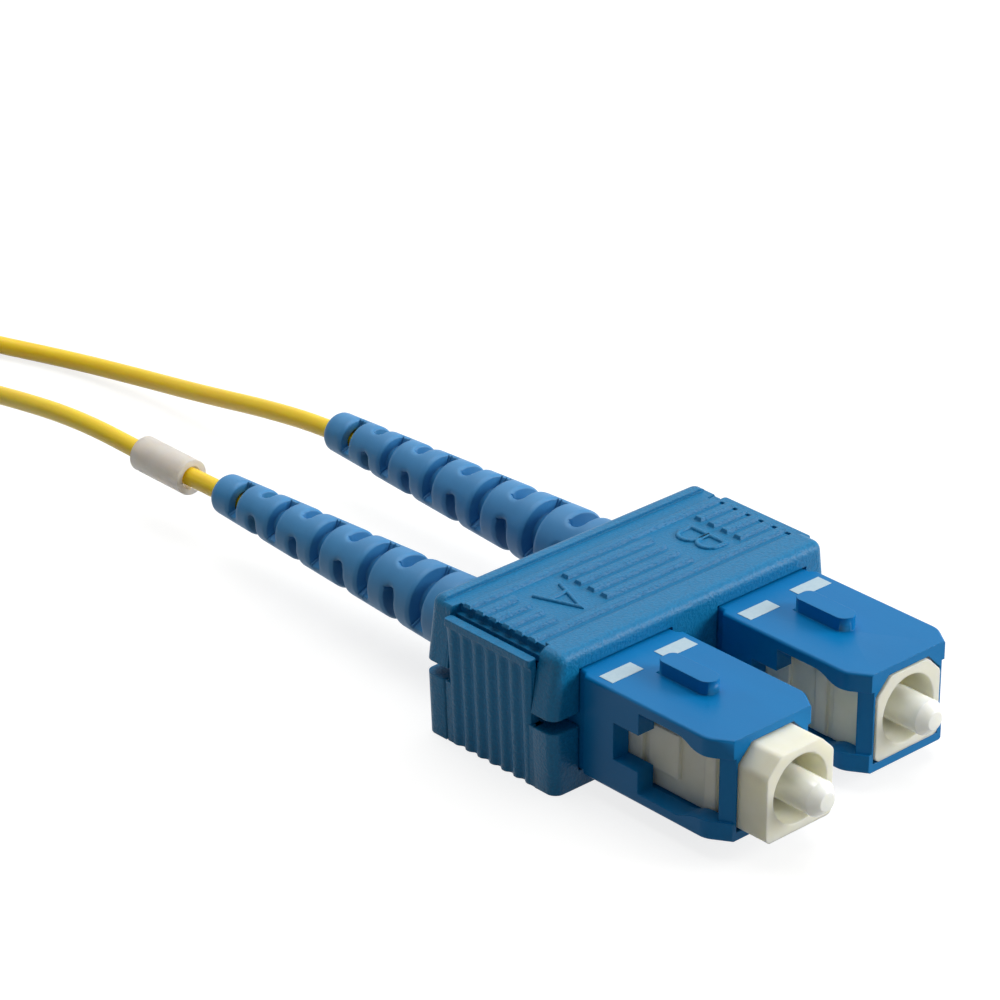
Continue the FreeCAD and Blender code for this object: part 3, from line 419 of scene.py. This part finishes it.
def coil_points(letter):
    """Control points of the put-away turns, wound row by row, twelve to a turn, in mm."""
    sizes = bpy.context.scene.connector_sizes
    apart = sizes.turn_spacing / MM
    nests, low = [], COIL_LOWEST[letter]
    for row, count in enumerate(COIL_ROWS):
        outward = [(i - (count - 1) / 2) * apart for i in range(count)]
        if row % 2 == 0:
            outward.reverse()
        nests += [(out, low + row * apart * math.sqrt(0.75)) for out in outward]
    spots, per_turn = [], sizes.points_per_turn
    inward_pull = math.cos(math.pi / per_turn)
    for number, (out, high) in enumerate(nests):
        last = number == len(nests) - 1
        next_out, next_high = (out, high) if last else nests[number + 1]
        for step in range(per_turn // 2 + 1 if last else per_turn):
            share = max(0.0, step / per_turn * 3 - 2)
            radius = (sizes.coil_radius / MM + out + (next_out - out) * share) / inward_pull
            angle = 2 * math.pi * step / per_turn
            spots.append((COIL_MIDDLE[0] + radius * math.cos(angle),
                          COIL_MIDDLE[1] + radius * math.sin(angle),
                          high + (next_high - high) * share))
    return spots


class CONNECTOR_OT_cables(bpy.types.Operator):
    """Lays the two jacketed cables from boot to coil to far plug, each tied round its turns"""
    bl_idname = "connector.cables"
    bl_label = "Cables"

    def execute(self, context):
        sizes = context.scene.connector_sizes
        jacket = extruded_jacket()
        strap = woven_strap()
        for letter in "ab":
            spots = ROUTES[letter] + coil_points(letter) + TAILS[letter]
            line = bpy.data.curves.new(f"jacket_{letter}", "CURVE")
            line.dimensions = "3D"
            spline = line.splines.new("NURBS")
            spline.points.add(len(spots) - 1)
            for point, spot in zip(spline.points, spots):
                point.co = (*(v * MM for v in spot), 1.0)
            spline.order_u, spline.use_endpoint_u = 3, True
            spline.resolution_u = 6
            line.bevel_depth = sizes.cable_diameter / 2
            line.bevel_resolution = 4
            line.use_fill_caps = True
            line.materials.append(jacket)
            cable = bpy.data.objects.new(f"jacket_{letter}", line)
            context.scene.collection.objects.link(cable)
            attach(cable, f"plug_{letter}")
            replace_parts(cable, f"cable_{letter}", f"coil_{letter}", f"cable_tail_{letter}")
            tie = coil_tie(letter, strap)
            far = [f"far_{part}_{letter}" for part in ("grip", "frame", "ferrule")]
            far.append(bpy.data.objects[f"slotted_far_boot_{letter}"])
        give_finish(jacket, *in_both("cable_end"))
        return {"FINISHED"}


def coil_tie(letter, strap):
    """A strap round all the turns of a coil, at one place along them."""
    sizes = bpy.context.scene.connector_sizes
    apart, radius = sizes.turn_spacing / MM, sizes.cable_diameter / 2 / MM
    rise, round_turn = apart * math.sqrt(0.75), radius + TIE_CLEAR
    section = []
    for row, side, start in TIE_CORNERS:
        out = (COIL_ROWS[row] - 1) / 2 * apart * side
        high = COIL_LOWEST[letter] + row * rise
        for turn in (0, 25, 50):
            angle = math.radians(start + turn)
            section.append((out + round_turn * math.cos(angle), high + round_turn * math.sin(angle)))
    form = bmesh.new()
    half, middle = sizes.tie_width / MM / 2, sizes.coil_radius / MM
    place = math.radians(TIE_ANGLE[letter])
    outward = Vector((math.cos(place), math.sin(place)))
    rings = []
    for out, high in section:
        rings.append([form.verts.new(Vector((
            COIL_MIDDLE[0] + (middle + out) * outward.x - across * outward.y,
            COIL_MIDDLE[1] + (middle + out) * outward.y + across * outward.x, high)) * MM)
            for across in (-half, half)])
    for ring, follower in zip(rings, rings[1:] + rings[:1]):
        form.faces.new((ring[0], ring[1], follower[1], follower[0]))
    tie = add_piece(f"coil_tie_{letter}", plain_mesh(f"coil_tie_{letter}", form), strap,
                    f"plug_{letter}")
    skin = tie.modifiers.new("thickness", "SOLIDIFY")
    skin.thickness, skin.offset = 0.3 * MM, 0
    return tie


# ---------------------------------------------------------------- clip, plugs and small raised parts
# The finger panels at the clip's ends, in mm: middle along Y, half widths, face from the middle of the
# clip, how far the top leans out, the bar across the top, and the soft ribs below it.
PANEL_MIDDLE, PANEL_FOOT_HALF, PANEL_TOP_HALF = -0.11, 3.75, 4.12
PANEL_FACE, PANEL_LEAN, PANEL_TOP = 12.3, 0.52, 9.88
BAR_LOW, BAR_TOP = 8.98, 9.52
RIB_PITCH, RIB_RISE, RIB_RELIEF = 1.17, 0.385, 0.23
# Beside each panel the lower shell closes up to it, and the upper one follows its taper. Each filling
# strip has a low and a high end: level, inner edge beside the panel's middle, and face.
PANEL_WEB = ((0, 3.7, 12.64), (4.64, 3.7, 12.86))
PANEL_LIP = ((5.63, 4.05, 12.9), (9.2, 4.17, 12.43))
STRIP_ROOT, STRIP_OUTER = 12.0, 4.3


class CONNECTOR_OT_clip(bpy.types.Operator):
    """Finishes the clip shells, with the shallow waves and the slim bar of the finger panels"""
    bl_idname = "connector.clip"
    bl_label = "Clip"

    def execute(self, context):
        finish = spark_eroded_abs()
        give_finish(finish, "clip_top_shell")
        # The bar across each finger panel ends at BAR_TOP, so what the solid has above it is cut away.
        above_bar = ([(-14, -7), (14, -7), (14, 7), (-14, 7)], BAR_TOP, 11)
        lower = add_piece("lower_shell", carved("clip_bottom_shell", [above_bar]),
                          finish, "clip_and_housings")
        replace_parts(even_faces(lower), "clip_bottom_shell")
        for way, side in ((-1, "left"), (1, "right")):
            added = [panel_waves(f"panel_waves_{side}", way)]
            for turn, place in ((-1, "front"), (1, "rear")):
                added.append(strip(f"panel_web_{side}_{place}", way, turn, PANEL_WEB))
                added.append(strip(f"panel_lip_{side}_{place}", way, turn, PANEL_LIP))
            for mesh in added:
                add_piece(mesh.name, mesh, finish, "clip_and_housings")
        return {"FINISHED"}


def panel_waves(name, way, columns=98, rows=26):
    """The panel's ribbed face as one closed sheet of soft waves that run out under the bar."""
    form = bmesh.new()
    sheets = []
    fade_length, behind = 0.55, -0.05
    for front in (True, False):
        sheet = []
        for row in range(rows + 1):
            high = BAR_LOW * (1 - (1 - row / rows) ** 2)
            half = PANEL_FOOT_HALF + (PANEL_TOP_HALF - PANEL_FOOT_HALF) * high / PANEL_TOP
            below = min(1.0, (BAR_LOW - high) / fade_length)
            fade = math.sqrt(1 - (1 - below) ** 2)
            for column in range(columns + 1):
                along = half * (2 * column / columns - 1)
                dip = (1 - math.cos(2 * math.pi * along / RIB_PITCH)) / 2
                out = RIB_RISE - RIB_RELIEF * dip**1.5 * fade if front else behind
                sheet.append(form.verts.new(Vector((
                    way * (PANEL_FACE + PANEL_LEAN * high / PANEL_TOP + out),
                    PANEL_MIDDLE + along, high)) * MM))
        sheets.append(sheet)
    width = columns + 1
    for row in range(rows):
        for column in range(columns):
            k = row * width + column
            for sheet in sheets:
                form.faces.new((sheet[k], sheet[k + 1], sheet[k + width + 1], sheet[k + width]))
    rim = ([(k, k + 1) for k in range(columns)]
           + [(k * width + columns, (k + 1) * width + columns) for k in range(rows)]
           + [(rows * width + k + 1, rows * width + k) for k in range(columns)]
           + [((k + 1) * width, k * width) for k in range(rows)])
    for start, end in rim:
        form.faces.new((sheets[0][start], sheets[0][end], sheets[1][end], sheets[1][start]))
    return smooth_mesh(name, form)


def strip(name, way, turn, ends):
    """A wedge beside the panel, from its inner edge to just inside the corner post."""
    form = bmesh.new()
    rings = []
    for level, inner, face in ends:
        corners = ((STRIP_ROOT, inner), (face, inner), (face, STRIP_OUTER), (STRIP_ROOT, STRIP_OUTER))
        rings.append([form.verts.new(Vector((way * x, PANEL_MIDDLE + turn * y, level)) * MM)
                      for x, y in corners])
    form.faces.new(rings[0])
    form.faces.new(rings[1])
    for k in range(4):
        form.faces.new((rings[0][k], rings[0][(k + 1) % 4], rings[1][(k + 1) % 4], rings[1][k]))
    return smooth_mesh(name, form)


# Depth of the ribbed field's floor below the clip's top, and how far the letters sink into it, in mm.
FIELD_DEPTH, LETTER_SINK = 0.35, 0.02


class CONNECTOR_OT_channel_letters(bpy.types.Operator):
    """Raises the channel letters A and B in the clip's ribbed field"""
    bl_idname = "connector.channel_letters"
    bl_label = "Channel letters"

    def execute(self, context):
        sizes = context.scene.connector_sizes
        finish = bpy.data.materials["abs_spark_eroded_blue"]
        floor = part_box("clip_top_shell")[1].z / MM - FIELD_DEPTH
        foot, crest = floor - LETTER_SINK, floor + sizes.letter_height / MM
        half = sizes.letter_stroke / MM / 2
        strokes = {
            "letter_a_legs": ([(-7.42, 1.6), (-6.16, -1.7), (-4.9, 1.6)], False),
            "letter_a_bar": ([(-7.0, 0.5), (-5.32, 0.5)], False),
            "letter_b_upper": (b_bowl(-1.7, -0.05, 5.85), True),
            "letter_b_lower": (b_bowl(-0.05, 1.65, 5.7), True),
        }
        for name, (line, closed) in strokes.items():
            mesh = swept(name, line, half, foot, crest, closed)
            soft_bevel(add_piece(name, mesh, finish, "clip_and_housings"), 0.09)
        return {"FINISHED"}


def b_bowl(low, high, reach):
    """One closed bowl of the letter B, whose spine is on the +X side."""
    spine, bend = 7.45, (high - low) / 2
    line = [(spine, high), (spine, low)]
    middle = (low + high) / 2
    for step in range(9):
        angle = math.pi / 2 + math.pi * step / 8
        line.append((reach + bend + bend * math.cos(angle), middle - bend * math.sin(angle)))
    return line


# The seating marks in mm: middle beside the key rib and behind the housing's front, size and film.
MARK_ASIDE, MARK_BACK = 2.48, 11.22
MARK_WIDTH, MARK_DEPTH, MARK_FILM = 2.8, 1.25, 0.03


class CONNECTOR_OT_housings(bpy.types.Operator):
    """Rounds the key ribs of the grip housings and prints the seating marks on their tops"""
    bl_idname = "connector.housings"
    bl_label = "Grip housings"

    def execute(self, context):
        sizes = context.scene.connector_sizes
        finish = glossy_pbt()
        give_finish(finish, *in_both("far_grip"))
        ink = pad_print()
        for letter in "ab":
            low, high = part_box(f"grip_housing_{letter}")
            middle, front = (low.x + high.x) / 2, low.y
            top = high.z - sizes.key_height
            shell = carved(f"grip_housing_{letter}", key_corners(middle / MM, front / MM, top / MM))
            shell = add_piece(f"housing_{letter}", shell, finish, "clip_and_housings")
            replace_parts(even_faces(shell), f"grip_housing_{letter}")
            for way, side in ((-1, "left"), (1, "right")):
                form = bmesh.new()
                bmesh.ops.create_cube(form, size=1.0)
                for spot in form.verts:
                    spot.co = Vector((middle + (way * MARK_ASIDE + spot.co.x * MARK_WIDTH) * MM,
                                      front + (MARK_BACK + spot.co.y * MARK_DEPTH) * MM,
                                      top + (spot.co.z + 0.5) * MARK_FILM * MM))
                mark = f"seating_mark_{letter}_{side}"
                soft_bevel(add_piece(mark, plain_mesh(mark, form), ink, "clip_and_housings"), 0.01)
        return {"FINISHED"}


def key_corners(middle, front, top, half=0.785, rear=9.76, bend=0.55):
    """The two corners that the key rib's rounded rear end leaves out, as prisms in mm."""
    above_housing, over_key, past = 0.004, 2, 0.2
    corners = []
    for side in (-1, 1):
        edge, end = middle + side * half, front + rear
        arc = [(edge - side * bend * (1 - math.cos(math.pi * k / 16)),
                end - bend * (1 - math.sin(math.pi * k / 16))) for k in range(9)]
        outline = [(edge + side * past, end + past), (edge + side * past, end - bend), *arc,
                   (edge - side * bend, end + past)]
        corners.append((outline, top + above_housing, top + over_key))
    return corners


# ---------------------------------------------------------------- frames, ferrules, inner parts, sleeve
class CONNECTOR_OT_plug_frames(bpy.types.Operator):
    """Finishes the plug frames"""
    bl_idname = "connector.plug_frames"
    bl_label = "Plug frames"

    def execute(self, context):
        give_finish(ivory_pbt(), *in_both("plug_frame", "far_frame"))
        return {"FINISHED"}


class CONNECTOR_OT_ferrules(bpy.types.Operator):
    """Finishes the ferrules"""
    bl_idname = "connector.ferrules"
    bl_label = "Ferrules"

    def execute(self, context):
        give_finish(lapped_zirconia(), *in_both("ferrule", "far_ferrule"))
        return {"FINISHED"}


class CONNECTOR_OT_inner_parts(bpy.types.Operator):
    """Finishes the metal parts, springs and fibres inside the plugs"""
    bl_idname = "connector.inner_parts"
    bl_label = "Inner parts"

    def execute(self, context):
        give_finish(turned_metal("brass_turned_nickel_plated", "#b9b6ad", "#cfccc4", 0.2),
                    *in_both("ferrule_flange"))
        give_finish(turned_metal("zinc_turned_bare", "#a3a5a6", "#b9bbbc", 0.3), *in_both("rear_body"))
        give_finish(turned_metal("aluminium_drawn_bare", "#b8babc", "#d0d2d4", 0.28),
                    *in_both("crimp_sleeve"))
        steel = drawn_steel()
        for letter in "ab":
            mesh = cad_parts[f"ferrule_spring_{letter}"].data.copy()
            mesh.materials.clear()
            spring = add_piece(f"float_spring_{letter}", mesh, steel, f"plug_{letter}")
            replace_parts(spring, f"ferrule_spring_{letter}")
            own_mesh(spring)
        give_finish(fibre_buffer(), *in_both("buffered_fibre"))
        return {"FINISHED"}


class CONNECTOR_OT_marker_sleeve(bpy.types.Operator):
    """Finishes the marker sleeve on cable A"""
    bl_idname = "connector.marker_sleeve"
    bl_label = "Marker sleeve"

    def execute(self, context):
        give_finish(milky_vinyl(), "marker_sleeve_a")
        return {"FINISHED"}


# ---------------------------------------------------------------- boots
# Lengths, radii and distances back from the tip, in mm. The front of a boot is straight outside, and
# holds the socket for the crimp sleeve; the bore widens from the tip towards it.
BOOT_LENGTH, BOOT_STRAIGHT = 38.7, 13.0
BOOT_RADIUS, BOOT_TIP_RADIUS, BOOT_TIP_ROUND = 2.75, 1.53, 0.5
BOOT_BORE, BOOT_THROAT, BOOT_SOCKET, BOOT_SOCKET_DEPTH = 0.82, 1.35, 2.0, 9.7
# Slots before BOOT_OPEN go through to the bore; the others end at this share of the outer radius.
BOOT_OPEN, SLOT_FLOOR = 5.9, 0.56
# The slots lie in rows across the boot, in turn on two diagonals: the rows' middles, the directions in
# degrees that a row's two slots face, and half the web that is left between them.
SLOT_ROWS = (((2.65, 7.2, 12.17, 17.56, 23.37), (135, 315), 0.66),
             ((4.93, 9.68, 14.86, 20.46, 26.6), (45, 225), 0.85))
# Half a slot's width in the row nearest the tip, and how much each row adds to it.
SLOT_HALF, SLOT_GROWTH = 0.44, 0.05


def boot_outside(back):
    """The boot's outer radius at a distance back from its tip."""
    back = max(back, 0.02)
    if back < BOOT_TIP_ROUND:
        return BOOT_TIP_RADIUS - BOOT_TIP_ROUND + math.sqrt(
            max(BOOT_TIP_ROUND**2 - (BOOT_TIP_ROUND - back) ** 2, 0))
    share = min(1, (back - BOOT_TIP_ROUND) / (BOOT_LENGTH - BOOT_STRAIGHT - BOOT_TIP_ROUND))
    return BOOT_TIP_RADIUS + (BOOT_RADIUS - BOOT_TIP_RADIUS) * share


def boot_bore(back):
    """The boot's bore at a distance back from its tip."""
    socket = BOOT_LENGTH - BOOT_SOCKET_DEPTH
    if back >= socket:
        return BOOT_SOCKET
    return BOOT_BORE + (BOOT_THROAT - BOOT_BORE) * back / (socket - 1)


def slot_distance(turn, back, radius):
    """How far a spot lies outside the nearest slot, whose ends are round; less than 0 inside."""
    return min(
        stadium(turn - math.radians(aim), back - middle, radius,
                radius * (math.pi / 2 - math.asin(web / radius)), SLOT_HALF + SLOT_GROWTH * number)
        for middles, aims, web in SLOT_ROWS
        for number, middle in enumerate(middles)
        for aim in aims)


def stadium(turn, along, radius, reach, half):
    """How far a spot lies outside one slot; turn and along are measured from the slot's middle."""
    turn = (turn + math.pi) % (2 * math.pi) - math.pi
    return math.hypot(max(abs(turn) * radius - (reach - half), 0), along) - half


def boot_mesh(name, rows=230, columns=84, lip=0.3):
    """A boot with its tip at the origin: a skin with the slots sunk into it, over a bore.

    Grid points near a slot's edge are moved onto it, and the skin sinks into a soft lip there."""
    step, nudge = BOOT_LENGTH / rows, 0.01
    spots, inside = [], []
    for row in range(rows + 1):
        for column in range(columns):
            back, turn = row * step, 2 * math.pi * column / columns
            radius = boot_outside(back)
            away = slot_distance(turn, back, radius)
            near = 0.5 * min(step, 2 * math.pi * radius / columns)
            if 0 < row < rows and abs(away) < near:
                slope_back = (slot_distance(turn, back + nudge, radius) - away) / nudge
                slope_turn = (slot_distance(turn + nudge / radius, back, radius) - away) / nudge
                size = max(slope_back**2 + slope_turn**2, 0.25)
                back -= away * slope_back / size
                turn -= away * slope_turn / size / radius
                away = 0.0
            spots.append((back, turn, max(away, 0.0)))
            inside.append(away < 0)
    form = bmesh.new()

    def skin(radius_at):
        return [form.verts.new(Vector((radius_at(back, away) * math.cos(turn), -back,
                                       radius_at(back, away) * math.sin(turn))) * MM)
                for back, turn, away in spots]

    def outside(back, away):
        sunk = lip - math.sqrt(max(lip**2 - (lip - min(away, lip)) ** 2, 0))
        return boot_outside(back) - sunk * 0.5

    outer = skin(outside)
    floor = skin(lambda back, away: boot_outside(back) * SLOT_FLOOR)
    bore = skin(lambda back, away: boot_bore(back))
    rim = {}
    for row in range(rows):
        for column in range(columns):
            following = (column + 1) % columns
            corners = (row * columns + column, row * columns + following,
                       (row + 1) * columns + following, (row + 1) * columns + column)
            sunk = any(inside[c] for c in corners)
            through = sunk and row * step < BOOT_OPEN
            if not through:
                form.faces.new([(floor if sunk else outer)[c] for c in corners])
                form.faces.new([bore[c] for c in reversed(corners)])
            if not sunk:
                for start, end in zip(corners, corners[1:] + corners[:1]):
                    if (end, start) in rim:
                        del rim[end, start]
                    else:
                        rim[start, end] = True
    for start, end in rim:
        back = spots[start][0]
        under = bore if back < BOOT_OPEN or back > BOOT_LENGTH - step / 2 else floor
        form.faces.new((outer[end], outer[start], under[start], under[end]))
    for spot in [v for v in form.verts if not v.link_faces]:
        form.verts.remove(spot)
    return smooth_mesh(name, form)


class CONNECTOR_OT_boots(bpy.types.Operator):
    """Models the slotted boots, with the soft edges of their slots"""
    bl_idname = "connector.boots"
    bl_label = "Boots"

    def execute(self, context):
        finish = moulded_elastomer()
        shape = boot_mesh("slotted_boot")
        for node in in_both("boot", "far_boot"):
            low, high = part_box(node)
            mesh = shape.copy()
            mesh.transform(Matrix.Translation(((low.x + high.x) / 2, high.y, (low.z + high.z) / 2)))
            piece = add_piece(f"slotted_{node}", mesh, finish, f"plug_{node[-1]}")
            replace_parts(piece, node)
        return {"FINISHED"}


# ---------------------------------------------------------------- studio
def seen_or_reflected(tree):
    """1 for rays from the camera, off gloss and through glass; 0 for the soft light on the object."""
    path = add_node(tree, "ShaderNodeLightPath")
    direct = add_node(tree, "ShaderNodeMath", {}, {0: path.outputs["Is Camera Ray"],
                                                  1: path.outputs["Is Glossy Ray"]},
                      operation="MAXIMUM")
    return add_node(tree, "ShaderNodeMath", {}, {0: direct.outputs["Value"],
                                                1: path.outputs["Is Transmission Ray"]},
                    operation="MAXIMUM").outputs["Value"]


class CONNECTOR_OT_stage(bpy.types.Operator):
    """Sets the floor, the soft lamps, the pale surround and the camera"""
    bl_idname = "connector.stage"
    bl_label = "Studio"

    def execute(self, context):
        scene = context.scene
        scene.view_settings.view_transform = "Standard"
        self.camera(scene)
        self.floor(scene)
        self.surround(scene)
        # Two big soft lamps: one overhead, a little behind the middle, and one low at the front right.
        self.lamp("overhead_lamp", (0.10, 0.12, 0.55), (0.0, 0.0, 0.0), 0.5, 2.25)
        self.lamp("front_lamp", (0.42, -0.42, 0.24), (0.0, 0.0, 0.0), 0.3, 3.2)
        return {"FINISHED"}

    def camera(self, scene):
        data = bpy.data.cameras.new("studio_camera")
        data.lens, data.sensor_width = 153.6, 36.0
        data.clip_start, data.clip_end = 0.01, 10.0
        camera = bpy.data.objects.new("studio_camera", data)
        camera.location = (-0.17831, -0.18057, 0.14176)
        camera.rotation_euler = (math.radians(63.48), 0.0, math.radians(-42.68))
        scene.collection.objects.link(camera)
        scene.camera = camera

    def floor(self, scene):
        """Matt paper sheet, seen and reflected as white, on which the object's shadow stays faint."""
        made, tree, shader = new_material("paper_matt_pale", {
            "Base Color": linear("#959593"), "Roughness": 0.9, "Specular IOR Level": 0.1})
        relief(tree, shader, grain(tree, 1.5), 0.02, 0.1)
        glow = add_node(tree, "ShaderNodeEmission", {"Color": linear("#ffffff"), "Strength": 0.8})
        both = add_node(tree, "ShaderNodeAddShader", {}, {0: shader.outputs["BSDF"],
                                                         1: glow.outputs["Emission"]})
        mix = add_node(tree, "ShaderNodeMixShader", {}, {0: seen_or_reflected(tree),
                                                        1: shader.outputs["BSDF"],
                                                        2: both.outputs["Shader"]})
        tree.links.new(mix.outputs["Shader"], tree.nodes["Material Output"].inputs["Surface"])
        mesh = bpy.data.meshes.new("studio_floor")
        form = bmesh.new()
        bmesh.ops.create_grid(form, x_segments=8, y_segments=8, size=1.5)
        form.to_mesh(mesh)
        form.free()
        mesh.materials.append(made)
        sheet = bpy.data.objects.new("studio_floor", mesh)
        scene.collection.objects.link(sheet)

    def surround(self, scene):
        """Pale surround, brighter from +X; what is seen of it directly or in gloss is white."""
        world = bpy.data.worlds.new("studio_surround")
        world.use_nodes = True
        tree = world.node_tree
        tree.nodes.clear()
        toward = add_node(tree, "ShaderNodeSeparateXYZ", {}, {
            "Vector": add_node(tree, "ShaderNodeTexCoord").outputs["Generated"]})
        side = add_node(tree, "ShaderNodeMapRange", {"From Min": -1.0, "From Max": 1.0,
                                                    "To Min": 0.08, "To Max": 0.42},
                        {"Value": toward.outputs["X"]})
        dim = add_node(tree, "ShaderNodeBackground", {"Color": linear("#ffffff")},
                       {"Strength": side.outputs["Result"]})
        white = add_node(tree, "ShaderNodeBackground", {"Color": linear("#ffffff"), "Strength": 1.0})
        mix = add_node(tree, "ShaderNodeMixShader", {}, {0: seen_or_reflected(tree),
                                                        1: dim.outputs["Background"],
                                                        2: white.outputs["Background"]})
        add_node(tree, "ShaderNodeOutputWorld", links={"Surface": mix.outputs["Shader"]})
        scene.world = world

    def lamp(self, name, spot, target, size, power):
        data = bpy.data.lights.new(name, "AREA")
        data.shape, data.size, data.energy = "SQUARE", size, power
        lamp = bpy.data.objects.new(name, data)
        lamp.location = spot
        lamp.rotation_euler = (Vector(target) - Vector(spot)).to_track_quat("-Z", "Y").to_euler()
        bpy.context.scene.collection.objects.link(lamp)


# ---------------------------------------------------------------- settings, panel and registration
def hue(name, hex_colour, meaning):
    """A colour property that starts as an sRGB hex colour."""
    return FloatVectorProperty(name=name, description=meaning, subtype="COLOR", size=4, min=0.0,
                               max=1.0, default=linear(hex_colour))


class ConnectorColours(bpy.types.PropertyGroup):
    clip_dark: hue("Clip, darker", "#045f8e", "Darker tone of the clip's plastic")
    clip_light: hue("Clip, lighter", "#1184b8", "Lighter tone of the clip's plastic")
    housing_dark: hue("Housing, darker", "#006ca9", "Darker tone of the grip housings")
    housing_light: hue("Housing, lighter", "#0079b8", "Lighter tone of the grip housings")
    frame_dark: hue("Frame, darker", "#ebe8d3", "Darker tone of the plug frames")
    frame_light: hue("Frame, lighter", "#f6f4e3", "Lighter tone of the plug frames")
    boot_dark: hue("Boot, darker", "#337cb1", "Darker tone of the boots")
    boot_light: hue("Boot, lighter", "#408dc4", "Lighter tone of the boots")
    jacket_dark: hue("Jacket, darker", "#ffcc00", "Darker tone of the cable jacket")
    jacket_light: hue("Jacket, lighter", "#ffdf10", "Lighter tone of the cable jacket")


class ConnectorSizes(bpy.types.PropertyGroup):
    cable_diameter: FloatProperty(name="Cable diameter", description="Outer diameter of a jacket",
                                  default=1.4 * MM, unit="LENGTH")
    cable_length: FloatProperty(name="Cable length", description="Length of each cable",
                                default=0.95, unit="LENGTH")
    coil_radius: FloatProperty(name="Coil radius", description="Mean radius of the put-away turns",
                               default=8.4 * MM, unit="LENGTH")
    turn_spacing: FloatProperty(name="Turn spacing", description="Distance between turns",
                                default=1.45 * MM, unit="LENGTH")
    points_per_turn: IntProperty(name="Points per turn", description="Control points in one turn",
                                 default=12, min=12)
    tie_width: FloatProperty(name="Tie width", description="Width of the coil's strap",
                             default=4.0 * MM, unit="LENGTH")
    key_height: FloatProperty(name="Key height", description="Height of the housing's key rib",
                              default=0.99 * MM, unit="LENGTH")
    letter_stroke: FloatProperty(name="Letter stroke", description="Width of a channel letter's stroke",
                                 default=0.46 * MM, unit="LENGTH")
    letter_height: FloatProperty(name="Letter height", description="How far a channel letter stands up",
                                 default=0.26 * MM, unit="LENGTH")


OPERATORS = (
    CONNECTOR_OT_stage, CONNECTOR_OT_boots, CONNECTOR_OT_cables, CONNECTOR_OT_clip,
    CONNECTOR_OT_channel_letters, CONNECTOR_OT_housings, CONNECTOR_OT_plug_frames,
    CONNECTOR_OT_ferrules, CONNECTOR_OT_inner_parts, CONNECTOR_OT_marker_sleeve,
)


class CONNECTOR_PT_panel(bpy.types.Panel):
    """Lists the connector's operators"""
    bl_idname = "CONNECTOR_PT_panel"
    bl_label = "Duplex connector"
    bl_space_type = "VIEW_3D"
    bl_region_type = "UI"
    bl_category = "Connector"

    def draw(self, context):
        for operator in OPERATORS:
            self.layout.operator(operator.bl_idname)


CLASSES = (ConnectorColours, ConnectorSizes, *OPERATORS, CONNECTOR_PT_panel)


def register():
    for cls in CLASSES:
        bpy.utils.register_class(cls)
    bpy.types.Scene.connector_colours = PointerProperty(type=ConnectorColours)
    bpy.types.Scene.connector_sizes = PointerProperty(type=ConnectorSizes)


def unregister():
    del bpy.types.Scene.connector_sizes
    del bpy.types.Scene.connector_colours
    for cls in reversed(CLASSES):
        bpy.utils.unregister_class(cls)


def main():
    register()
    for operator in OPERATORS:
        group, name = operator.bl_idname.split(".")
        getattr(getattr(bpy.ops, group), name)()


if __name__ == "__main__":
    main()
